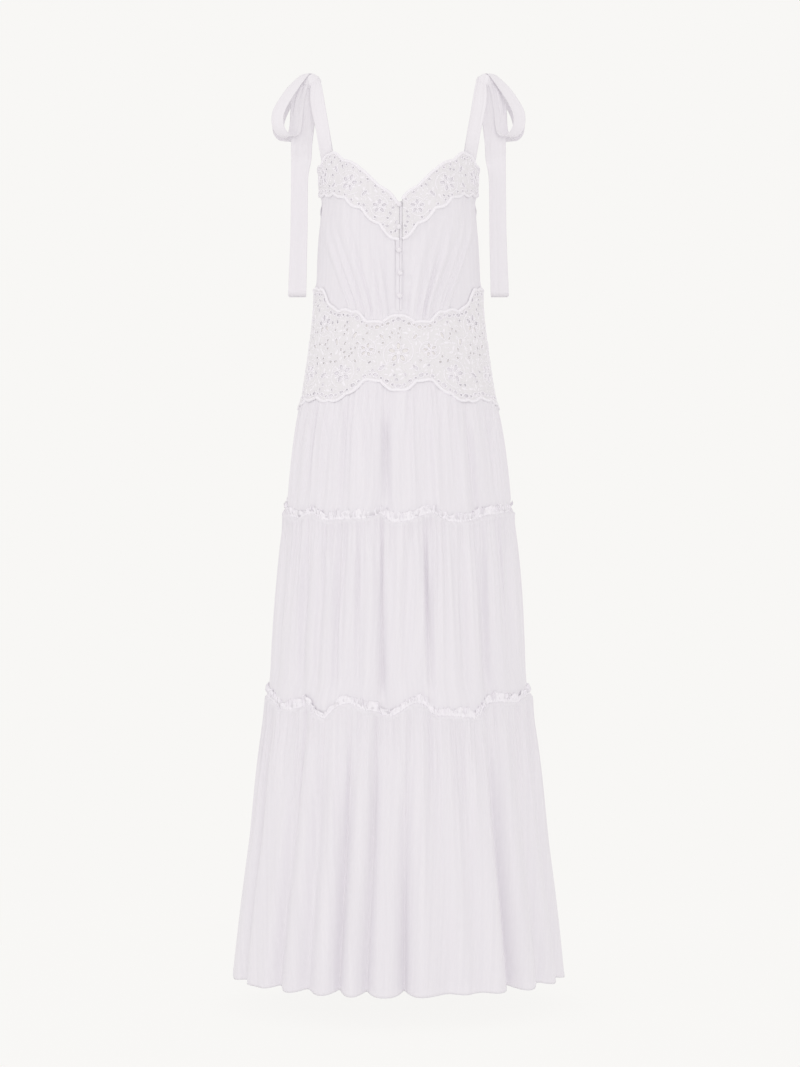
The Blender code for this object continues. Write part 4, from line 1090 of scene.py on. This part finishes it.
def edge_holes(edge, inset, places, length, width):
    holes = []
    for across in places:
        rise = float(edge(across + length) - edge(across - length))
        turn = math.degrees(math.atan2(rise, 2 * length))
        holes.append((across, float(edge(across)) + inset, length, width, turn))
    return holes


def inside_ring(points, ring):
    x, y = points[:, 0], points[:, 1]
    crossed = np.zeros(len(points), bool)
    for (x0, y0), (x1, y1) in zip(ring, np.roll(ring, -1, 0)):
        spans = (y0 > y) != (y1 > y)
        if y1 != y0:
            crossed ^= spans & (x < x0 + (y - y0) / (y1 - y0) * (x1 - x0))
    return crossed


def lace_cloth(name, oval, outline, holes, pitch=LACE_PITCH):
    """The cloth of a lace: its outline and holes meshed flat, with points between, then laid on the body."""
    rings = [np.asarray(outline)] + [pointed_oval(hole, 12) for hole in holes]
    points, edges = [], []
    for ring in rings:
        first = len(points)
        points += ring.tolist()
        edges += [(first + i, first + (i + 1) % len(ring)) for i in range(len(ring))]
    low, high = rings[0].min(0), rings[0].max(0)
    rows = int((high[1] - low[1]) / (pitch * 0.87)) + 1
    columns = int((high[0] - low[0]) / pitch) + 1
    x = low[0] + pitch * (np.arange(columns)[None, :] + 0.5 * (np.arange(rows)[:, None] % 2))
    y = np.broadcast_to(low[1] + 0.87 * pitch * np.arange(rows)[:, None], x.shape)
    fill = np.stack([x.ravel(), y.ravel()], -1)
    keep = inside_ring(fill, rings[0])
    for hole in holes:
        keep &= ~inside_ring(fill, pointed_oval(hole, 14, pitch * 0.4))
    near_edge = np.full(len(fill), 1e9)
    for p in rings[0][::2]:
        near_edge = np.minimum(near_edge, np.hypot(*(fill - p).T))
    keep &= near_edge > 0.6 * pitch
    points += fill[keep].tolist()
    flat, _, faces, _, _, _ = delaunay_2d_cdt([Vector(p) for p in points], edges, [], 1, 1e-7)
    flat = np.array([tuple(p) for p in flat])
    faces = np.array([f for f in faces if len(f) == 3])
    centres = flat[faces].mean(1)
    inside = np.ones(len(faces), bool)
    for hole, ring in zip(holes, rings[1:]):
        near = np.hypot(centres[:, 0] - hole[0], centres[:, 1] - hole[1]) < 1.2 * hole[2]
        inside[near] &= ~inside_ring(centres[near], ring)
    faces = faces[inside]
    used = np.unique(faces)
    renumber = np.zeros(len(flat), int)
    renumber[used] = np.arange(len(used))
    flat, faces = flat[used], renumber[faces]
    return thicken(mesh_object(name, oval.place(flat), faces, flat, BATISTE), LACE_CLOTH)


def stem(start, finish, bend, steps=9):
    start, finish = np.asarray(start, float), np.asarray(finish, float)
    t = np.linspace(0, 1, steps)[:, None]
    across = np.array([-(finish - start)[1], (finish - start)[0]])
    middle = (start + finish) / 2 + bend * across
    return (1 - t) ** 2 * start + 2 * t * (1 - t) * middle + t * t * finish


def fill_motifs(relief, holes, inside, low, high, seed, pitch=MOTIF_PITCH):
    """Padded leaves and dots where the larger motifs leave room. Returns small eyelets put between them."""
    chance = random.Random(seed)
    taken = [(h[0], h[1], h[2] + 2.0 * MM) for h in holes]
    eyelets = []
    rows = int((high[1] - low[1]) / pitch) + 1
    columns = int((high[0] - low[0]) / pitch) + 1
    for j in range(rows):
        for i in range(columns):
            x = low[0] + pitch * (i + 0.5 * (j % 2) + chance.uniform(-0.25, 0.25))
            y = low[1] + pitch * (j + chance.uniform(-0.25, 0.25))
            kind, turn = chance.random(), chance.uniform(0, 180)
            if not inside(x, y):
                continue
            room = min(math.hypot(x - a, y - b) - r for a, b, r in taken)
            if room < 1.7 * MM:
                continue
            size = min(room, 5.4 * MM)
            if kind < 0.42 and room > 3.0 * MM:
                eyelet = (x, y, min(size * 0.6, 2.8 * MM), 1.7 * MM, turn)
                relief.rim(eyelet, *SMALL_RIM, 12)
                eyelets.append(eyelet)
                taken.append((x, y, eyelet[2] + 1.6 * MM))
            elif kind < 0.85:
                relief.pad((x, y, size, size * 0.46, turn), 1.15 * MM, 10)
                taken.append((x, y, size * 0.55))
            else:
                relief.pad((x, y, 1.5 * MM, 1.5 * MM, 0), 0.9 * MM, 8)
                taken.append((x, y, 1.6 * MM))
    return eyelets


def scroll(centre, reach, start, sweep, grow, holes, steps=26):
    """The longest run of a spiral stem round a flower that keeps clear of the holes."""
    a = np.radians(start + sweep * np.linspace(0, 1, steps))
    r = reach * (1 + grow * np.linspace(0, 1, steps))
    path = np.stack([centre[0] + r * np.cos(a), centre[1] + r * np.sin(a)], -1)
    clear = np.ones(steps, bool)
    for hole in holes:
        clear &= np.hypot(path[:, 0] - hole[0], path[:, 1] - hole[1]) > hole[2] + 1.2 * MM
    best, run = (0, 0), 0
    for i, good in enumerate(clear):
        run = run + 1 if good else 0
        if run > best[1] - best[0]:
            best = (i + 1 - run, i + 1)
    return path[best[0]:best[1]]


def make_lace(name, oval, upper, lower, low, high, holes, flowers, leaves):
    steps = int((high - low) / (2.2 * MM))
    across = np.linspace(low, high, steps + 1)
    down = np.linspace(0, 1, int((upper(high) - lower(high)) / (3.4 * MM)) + 2)[1:-1]
    outline = np.concatenate([
        np.stack([across, lower(across)], -1),
        np.stack([high + 0 * down, lerp(lower(high), upper(high), down)], -1),
        np.stack([across, upper(across)], -1)[::-1],
        np.stack([low + 0 * down, lerp(upper(low), lower(low), down)], -1),
    ])
    relief = Relief(oval)
    fine = np.linspace(low, high, int(1.4 * steps) + 1)
    for edge, sign in ((upper, -1), (lower, 1)):
        relief.ridge(np.stack([fine, edge(fine) + sign * 2.5 * MM], -1), *EDGE_BAND, tapered=False)
    for hole in holes:
        relief.rim(hole)

    def inside(x, y, margin=7.5 * MM):
        return low + 4 * MM < x < high - 4 * MM and float(lower(x)) + margin < y < float(upper(x)) - margin

    taken = list(holes)
    for k, (across_, height, size, turn) in enumerate(flowers):
        relief.pad((across_, height, 2.9 * MM * size, 2.9 * MM * size, 0), 1.4 * MM)
        for j in range(PETALS):
            a = math.radians(turn + 360 * (j + 0.5) / PETALS)
            reach = 11.0 * MM * size
            relief.pad((across_ + reach * math.cos(a), height + reach * math.sin(a),
                        3.8 * MM * size, 1.7 * MM * size, math.degrees(a)), 1.1 * MM)
        for start, sweep in ((turn + 20 + 31 * k, 125), (turn + 200 + 31 * k, 125)):
            path = scroll((across_, height), 16.0 * MM * size, start, sweep, 0.35, holes)
            path = np.array([p for p in path if inside(*p, 6 * MM)])
            if len(path) > 7:
                relief.ridge(path, *SCROLL_BAND)
                taken += [(x, y, 0.8 * MM, 0.8 * MM, 0) for x, y in path[::3]]
    for across_, height, size, turn in leaves:
        centre = min(flowers, key=lambda f: math.hypot(f[0] - across_, f[1] - height))
        away = math.atan2(height - centre[1], across_ - centre[0])
        root = (centre[0] + 15 * MM * centre[2] * math.cos(away), centre[1] + 15 * MM * centre[2] * math.sin(away))
        tip = (across_ - 7.6 * MM * size * math.cos(away), height - 7.6 * MM * size * math.sin(away))
        if math.hypot(root[0] - tip[0], root[1] - tip[1]) > 4 * MM:
            relief.ridge(stem(root, tip, 0.25), *STEM_BAND)
        for side in (-1, 1):
            a = math.radians(turn) + side * 0.9
            leaf = (across_ + 8.4 * MM * size * math.cos(a), height + 8.4 * MM * size * math.sin(a),
                    4.6 * MM * size, 2.0 * MM * size, math.degrees(a))
            if inside(leaf[0], leaf[1]):
                relief.pad(leaf, 1.15 * MM)
                taken.append(leaf)
    corner_low = (low, float(outline[:, 1].min()))
    corner_high = (high, float(outline[:, 1].max()))
    eyelets = fill_motifs(relief, taken, inside, corner_low, corner_high, LACE_SEEDS[name])
    cloth = lace_cloth(f"sewn_{name}", oval, outline, holes + eyelets)
    stitched = relief.object(f"stitched_{name}")
    finish_piece(cloth, "lace", name)
    finish_piece(stitched, "lace", name)
    return cloth, stitched


def make_waist_lace(side):
    oval = Oval(*WAIST_OVAL, WAIST_LACE_OUT + 0.3 * MM, 0 if side == "front" else 180)
    upper = edge_of(WAIST_LACE_UPPER_EDGE, oval, WAIST_SCALLOPS, WAIST_SCALLOP_DEPTH)
    lower = edge_of(WAIST_LACE_LOWER_EDGE, oval, WAIST_SCALLOPS, -WAIST_SCALLOP_DEPTH)
    flowers, leaves = both_sides(WAIST_FLOWERS), both_sides(WAIST_LEAVES)
    holes = flower_holes(flowers)
    holes += [(a, h, LEAF_LENGTH * s, LEAF_WIDTH * s, t) for a, h, s, t in leaves]
    places = [(k - (EDGE_EYELETS - 1) / 2) * EDGE_EYELET_PITCH for k in range(EDGE_EYELETS)]
    between = [p + 0.5 * EDGE_EYELET_PITCH for p in places[:-1]]
    small = [p + share * EDGE_EYELET_PITCH for p in places[:-1] for share in (0.25, 0.75)]
    for rows, inset in ((WAIST_LACE_UPPER_EDGE, -1), (WAIST_LACE_LOWER_EDGE, 1)):
        edge = edge_of(rows, oval)
        holes += edge_holes(edge, inset * EDGE_EYELET_INSET, places, EDGE_EYELET_LENGTH, EDGE_EYELET_WIDTH)
        holes += edge_holes(edge, inset * EDGE_EYELET_INSET, between, 3.0 * MM, 2.1 * MM)
        holes += edge_holes(edge, inset * 9.5 * MM, small, 1.8 * MM, 1.6 * MM)
    end = oval.quarter
    holes = [h for h in holes if abs(h[0]) < end - h[2] - EYELET_GAP]
    return make_lace(f"waist_lace_{side}", oval, upper, lower, -end, end, holes, flowers, leaves)


def make_bust_lace(side):
    sign = 1 if side == "left" else -1
    oval = Oval(*BUST_OVAL, BUST_LACE_OUT + 0.3 * MM)
    upper = edge_of(NECK_EDGE, oval, NECK_SCALLOPS, NECK_SCALLOP_DEPTH)
    lower = edge_of(BUST_LACE_LOWER_EDGE, oval, BUST_SCALLOPS, -BUST_SCALLOP_DEPTH)
    start = PLACKET_RIGHT + SEAM_GAP if side == "left" else -LACE_OVER_PLACKET
    flowers, leaves = (
        [(sign * a, h, s, t if sign > 0 else 180 - t) for a, h, s, t in rows] for rows in (BUST_FLOWERS, BUST_LEAVES)
    )
    holes = flower_holes(flowers)
    holes += [(a, h, LEAF_LENGTH * s, LEAF_WIDTH * s, t) for a, h, s, t in leaves]
    low, high = sorted((sign * start, sign * oval.quarter))
    for rows, inset in ((NECK_EDGE, -1), (BUST_LACE_LOWER_EDGE, 1)):
        edge = edge_of(rows, oval)
        places = [sign * (12 * MM + k * 13 * MM) for k in range(14)]
        small = edge_holes(edge, inset * 8.5 * MM, places, 1.9 * MM, 1.5 * MM)
        holes += [
            h for h in small
            if all(math.hypot(h[0] - o[0], h[1] - o[1]) > h[2] + o[2] + EYELET_GAP for o in holes)
        ]
    holes = [h for h in holes if low + h[2] + EYELET_GAP < h[0] < high - h[2] - EYELET_GAP]
    return make_lace(f"bust_lace_{side}", oval, upper, lower, low, high, holes, flowers, leaves)


# Front opening


def front_angle(x, z):
    return np.degrees(np.arcsin(x / through(SECTIONS[:, 0], SECTIONS[:, 1], z)))


def make_placket():
    """The under strip, and on the wearer's left the folded edge that the buttons close against."""
    top = NECK_EDGE[0, 1] - PLACKET_SHORT
    bottom = WAIST_LACE_UPPER_EDGE[0, 1] + PLACKET_SHORT
    z = np.linspace(top, bottom, 71)[:, None]
    x = np.linspace(PLACKET_LEFT, PLACKET_RIGHT, 31)[None, :]
    groove = -1.1 * MM * bell((x - 1.9 * MM) / (0.55 * MM))
    fold = 0.35 * MM * smooth((x - 2.1 * MM) / (0.6 * MM))
    beside_lace = 2.3 * MM * smooth((z - BUST_LACE_LOWER_EDGE[0, 1] + 6 * MM) / (8 * MM))
    pulls = sum(bell((z - TOP_BUTTON_Z + BUTTON_PITCH * k) / (5 * MM)) for k in range(5))
    out = PLACKET_OUT + 0.2 * MM + groove + fold + beside_lace + 0.25 * MM * pulls * np.sin(900 * x)
    return shell("sewn_button_placket", body(front_angle(x, z), z, out), VOILE)


def make_button(number):
    """A ball button covered in cloth."""
    z = TOP_BUTTON_Z - BUTTON_PITCH * number
    aside, lift = BUTTON_SEATS[number]
    seat = body(front_angle(aside, z), z, PLACKET_OUT + lift)
    rows, columns = 17, 29
    up = np.linspace(0.0, 1.0, rows)[:, None]
    a = np.linspace(0, 2 * math.pi, columns)[None, :]
    polar = up * 0.72 * math.pi
    pucker = 1 + 0.02 * np.sin(9 * a + 1.3 * number) * smooth((up - 0.6) / 0.4)
    radius = BUTTON_RADIUS * np.sin(polar) * pucker
    rise = BUTTON_HEIGHT * np.cos(polar)
    points = np.stack([radius * np.cos(a), -rise + 0 * a, radius * np.sin(a)], -1) + seat
    made = mesh_object(
        f"covered_button_{number + 1}",
        points.reshape(-1, 3),
        grid_faces(rows, columns)[:, ::-1],
        (np.stack([np.cos(a) * up, np.sin(a) * up], -1) * BUTTON_RADIUS * 1.5).reshape(-1, 2),
        BUTTON,
    )
    return finish_piece(made, "buttons", f"button_{number + 1}")


# Shoulder ties


def ribbon_frame(points, steps):
    order = np.arange(len(points))
    at = np.linspace(0, len(points) - 1, steps + 1)
    return np.stack([through(order, points[:, k], at) for k in range(5)], -1)


def ribbon_grid(points, columns, steps, foot=None):
    """Rows of points across a ribbon, with the normal at each."""
    here = ribbon_frame(points, steps)
    t = np.radians(here[:, 4])
    across = np.stack([np.cos(t), np.sin(t), 0 * t], -1) * here[:, 3:4]
    share = np.linspace(-0.5, 0.5, columns + 1)
    grid = here[:, None, :3] + across[:, None, :] * share[None, :, None]
    if foot is not None:
        angles, top = foot
        last = body(lerp(*angles, share + 0.5), top(lerp(*angles, share + 0.5)) + FOOT_GAP)
        blend = np.linspace(0, 1, 10)[1:, None, None]
        grid = np.concatenate([grid, lerp(grid[-1][None], last[None], blend)])
    return grid


def grid_normals(grid):
    down, across = np.gradient(grid, axis=0), np.gradient(grid, axis=1)
    normal = np.cross(down, across)
    return normal / np.maximum(np.linalg.norm(normal, axis=-1), 1e-12)[..., None]


def tie_relief(seed, shape, depth, knot_end):
    """Lengthwise folds of a tie that are deepest and closest at the knot."""
    chance = random.Random(seed)
    v = np.linspace(0, 1, shape[0])[:, None]
    s = np.linspace(-0.5, 0.5, shape[1])[None, :]
    out = np.zeros(shape[:2])
    for k in range(5):
        middle = -0.4 + 0.2 * k + chance.uniform(-0.05, 0.05)
        drift = chance.uniform(-0.1, 0.1)
        width = chance.uniform(0.05, 0.09)
        strength = chance.uniform(0.5, 1.0) * (knot_end(v) + chance.uniform(0.08, 0.35))
        out += strength * bell((s - middle - drift * v) / width)
    edge = 0.35 * bell((0.5 - np.abs(s)) / 0.035)
    return depth * out + edge * MM


def make_tie(kind, where, side, points, columns, steps, depth, knot_end, foot=None):
    grid = ribbon_grid(points, columns, steps, foot)
    normal = grid_normals(grid)
    seed = sum(ord(c) for c in kind + where + side)
    relief = tie_relief(seed, grid.shape, depth, knot_end)
    grid = grid + normal * (relief + 0.1 * MM)[..., None]
    if side == "right":
        grid = grid * np.array([-1.0, 1.0, 1.0])
    if (side == "right") != (where == "back"):
        grid = grid[:, ::-1]
    return shell(f"sewn_{where}_{kind}_{side}", grid, RIBBON, 0.5 * MM)


def near_top(v):
    return 1 - smooth(v / 0.7)


def both_ends(v):
    return 1 - smooth(np.minimum(v, 1 - v) / 0.3)


def make_ties(side):
    made = {}
    for where in ("front", "back"):
        flip = 1 if where == "front" else -1
        mirror = np.array([1, flip, 1, 1, flip])
        narrower = np.array([1, 1, 1, 1 if where == "front" else BACK_SHARE, 1])
        shift = 0.0 if where == "front" else BACK_LOOP_SHIFT
        t = math.radians(LOOP_HEADING)
        loop = np.stack([
            LOOP_START[0] + shift + LOOP[:, 0] * math.cos(t),
            LOOP_START[1] - LOOP[:, 0] * math.sin(t),
            LOOP[:, 1],
            LOOP[:, 2],
            LOOP[:, 3],
        ], -1)
        foot = (FRONT_FOOT, front_top) if where == "front" else (BACK_FOOT, back_top)
        made[f"{where}_strap_{side}"] = make_tie(
            "strap", where, side, FRONT_STRAP * mirror, 26, 48, 1.5 * MM, near_top, foot
        )
        made[f"{where}_loop_{side}"] = make_tie(
            "loop", where, side, loop * mirror * narrower, 22, 90, 1.2 * MM, both_ends
        )
        made[f"{where}_tail_{side}"] = make_tie(
            "tail", where, side, FRONT_TAIL * mirror * narrower, 26, 84, 1.5 * MM, near_top
        )
    return made


def make_knot(side):
    """The knot: cloth drawn tightly over itself in a rounded lump, with creases round it."""
    sign = 1 if side == "left" else -1
    rows, columns = 41, 65
    polar = np.linspace(0, math.pi, rows)[:, None]
    a = np.linspace(0, 2 * math.pi, columns)[None, :]
    ball = np.stack([np.sin(polar) * np.cos(a), np.sin(polar) * np.sin(a), np.cos(polar) + 0 * a], -1)
    square = np.abs(ball).max(-1, keepdims=True)
    ball = lerp(ball, ball / square, 0.12)
    creases = 0.03 * np.sin(5 * (ball[..., 0] * 1.4 + ball[..., 2]) + 2.0 * ball[..., 1])
    creases += 0.02 * np.sin(11 * ball[..., 0] - 4 * ball[..., 2] + 1.0)
    band = 0.04 * bell((ball[..., 0] - 0.15) / 0.35)
    ball = ball * (1.0 + creases + band)[..., None] * np.array(KNOT_SIZE)
    points = ball * np.array([sign, 1, 1]) + np.array([sign * KNOT[0], KNOT[1], KNOT[2]])
    faces = grid_faces(rows, columns)
    if sign < 0:
        faces = faces[:, ::-1]
    uv = np.stack([a * 8 * MM + 0 * polar, polar * 8 * MM + 0 * a], -1)
    made = mesh_object(f"tied_shoulder_knot_{side}", points.reshape(-1, 3), faces, uv.reshape(-1, 2), RIBBON)
    return finish_piece(made, "voile", f"shoulder_knot_{side}")


# Stitches


STITCH_PITCH = 2.6 * MM
STITCH_LENGTH = 0.62  # in pitches
STITCH_HALF_WIDTH = 0.28 * MM
STITCH_LIFT = 0.15 * MM


def stitch_line(name, path, normals):
    """A row of short stitches along a path, as one mesh."""
    path, normals = np.asarray(path, float), np.asarray(normals, float)
    along = np.concatenate([[0], np.cumsum(np.linalg.norm(np.diff(path, axis=0), axis=1))])
    count = int(along[-1] / STITCH_PITCH)
    at = (np.arange(count) + 0.5) * along[-1] / count
    half = 0.5 * STITCH_LENGTH * STITCH_PITCH

    def place(where):
        return np.stack([np.interp(where, along, path[:, k]) for k in range(3)], -1)

    start, finish = place(at - half), place(at + half)
    up = np.stack([np.interp(at, along, normals[:, k]) for k in range(3)], -1)
    up /= np.linalg.norm(up, axis=1)[:, None]
    heading = finish - start
    heading /= np.linalg.norm(heading, axis=1)[:, None]
    aside = np.cross(up, heading)
    middle = (start + finish) / 2
    low = -0.05 * MM * up
    verts = np.stack([
        start + low, finish + low,
        middle + aside * STITCH_HALF_WIDTH + low, middle - aside * STITCH_HALF_WIDTH + low,
        lerp(start, finish, 0.25) + up * STITCH_LIFT, lerp(start, finish, 0.75) + up * STITCH_LIFT,
    ], 1)
    face = np.array([(0, 2, 4), (2, 5, 4), (2, 1, 5), (0, 4, 3), (3, 4, 5), (3, 5, 1), (0, 3, 2), (3, 1, 2)])
    faces = (face[None] + 6 * np.arange(count)[:, None, None]).reshape(-1, 3)
    uv = np.tile(np.array([(0, 0), (1, 0), (0.5, 0.2), (0.5, -0.2), (0.2, 0), (0.8, 0)]) * MM, (count, 1))
    made = mesh_object(name, verts.reshape(-1, 3), faces, uv, SATIN)
    return finish_piece(made, "voile")


def outward(points):
    flat = points * np.array([1.0, 1.0, 0.0])
    return flat / np.linalg.norm(flat, axis=-1, keepdims=True)


# Put together

camera_data = bpy.data.cameras.new("camera")
camera_data.lens = CAMERA_LENS
camera_data.sensor_width = 36.0
camera = bpy.data.objects.new("camera", camera_data)
camera.location = CAMERA_PLACE
camera.rotation_euler = (math.radians(90), 0, 0)
bpy.context.scene.collection.objects.link(camera)
bpy.context.scene.camera = camera

for side in ("front", "back"):
    for tier in ("first", "second", "third"):
        piece = finish_piece(make_tier(tier, side), "voile", f"{tier}_tier_{side}")
    for tier, name in (("first", "upper"), ("second", "lower")):
        piece = finish_piece(make_frill(tier, name, side), "voile", f"{name}_frill_{side}")
    piece = finish_piece(make_lining(side), "lining", f"waist_lining_{side}")
    cloth, stitched = make_waist_lace(side)

finish_piece(make_bodice_back(), "voile", "bodice_back")
for side in ("left", "right"):
    piece = finish_piece(make_bodice_front(side), "voile", f"bodice_front_{side}")
    cloth, stitched = make_bust_lace(side)
    make_knot(side)
    for node, piece in make_ties(side).items():
        finish_piece(piece, "voile", node)

finish_piece(make_placket(), "voile", "button_placket")
for number in range(5):
    make_button(number)

for side in ("front", "back"):
    first = -90.0 if side == "front" else 90.0
    angle = np.linspace(first, first + 180, 700)
    out = SHELL_OUT + SHELL + tier_relief("third", side, angle, HEM_STITCH_ROW)
    lower = hem_drop("third", side, angle, HEM_STITCH_ROW)
    path = tier_points("third", side, angle, HEM_STITCH_ROW, out, lower)
    stitch_line(f"hem_stitches_{side}", path, outward(path))

# Floor, light and background

BACKGROUND = (0.9387, 0.9301, 0.9131, 1)
FLOOR_REACH = 3  # half the floor's width
FLOOR_FADE = (1.65, 2.6)  # distances from its middle between which the floor fades out
LIGHTS = [  # name, place, target, size, power and colour
    ("key", (-3.6, -2.2, 1.1), (0, 0, -0.7), 1.4, 12.0, (1.0, 0.99, 1.0)),
    ("fill", (0.8, -4.6, 0.3), (0, 0, -0.75), 1.2, 26.0, (1.0, 0.995, 0.99)),
]

corners = [(x * FLOOR_REACH, y * FLOOR_REACH, FLOOR_Z) for x, y in ((-1, -1), (1, -1), (1, 1), (-1, 1))]
floor_mesh = bpy.data.meshes.new("floor")
floor_mesh.from_pydata(corners, [], [(0, 1, 2, 3)])
floor = bpy.data.objects.new("floor", floor_mesh)
bpy.context.scene.collection.objects.link(floor)
floor_material = bpy.data.materials.new("floor")
floor_material.use_nodes = True
floor_mesh.materials.append(floor_material)
tree = floor_material.node_tree
place = tree.nodes.new("ShaderNodeTexCoord").outputs["Object"]
reach = add_node(tree, "ShaderNodeVectorMath", {0: place})
reach.operation = "LENGTH"
fade = add_node(tree, "ShaderNodeMapRange", {
    "Value": reach.outputs["Value"],
    "From Min": FLOOR_FADE[0],
    "From Max": FLOOR_FADE[1],
    "To Min": 1.0,
    "To Max": 0.0,
})
fade.interpolation_type = "SMOOTHSTEP"
set_inputs(tree.nodes["Principled BSDF"], {
    "Base Color": (0.05, 0.05, 0.05, 1),
    "Emission Color": BACKGROUND,
    "Emission Strength": 0.95,
    "Roughness": 0.9,
    "Specular IOR Level": 0.0,
    "Alpha": fade.outputs["Result"],
})

world = bpy.data.worlds.new("studio")
bpy.context.scene.world = world
world.use_nodes = True
set_inputs(world.node_tree.nodes["Background"], {"Color": BACKGROUND, "Strength": 1.0})
bpy.context.scene.view_settings.view_transform = "Standard"

for name, place, target, size, power, colour in LIGHTS:
    light = bpy.data.lights.new(name, "AREA")
    light.shape = "DISK"
    light.size = size
    light.energy = power
    light.color = colour
    lamp = bpy.data.objects.new(name, light)
    lamp.location = place
    lamp.rotation_euler = (Vector(target) - Vector(place)).to_track_quat("-Z", "Y").to_euler()
    bpy.context.scene.collection.objects.link(lamp)
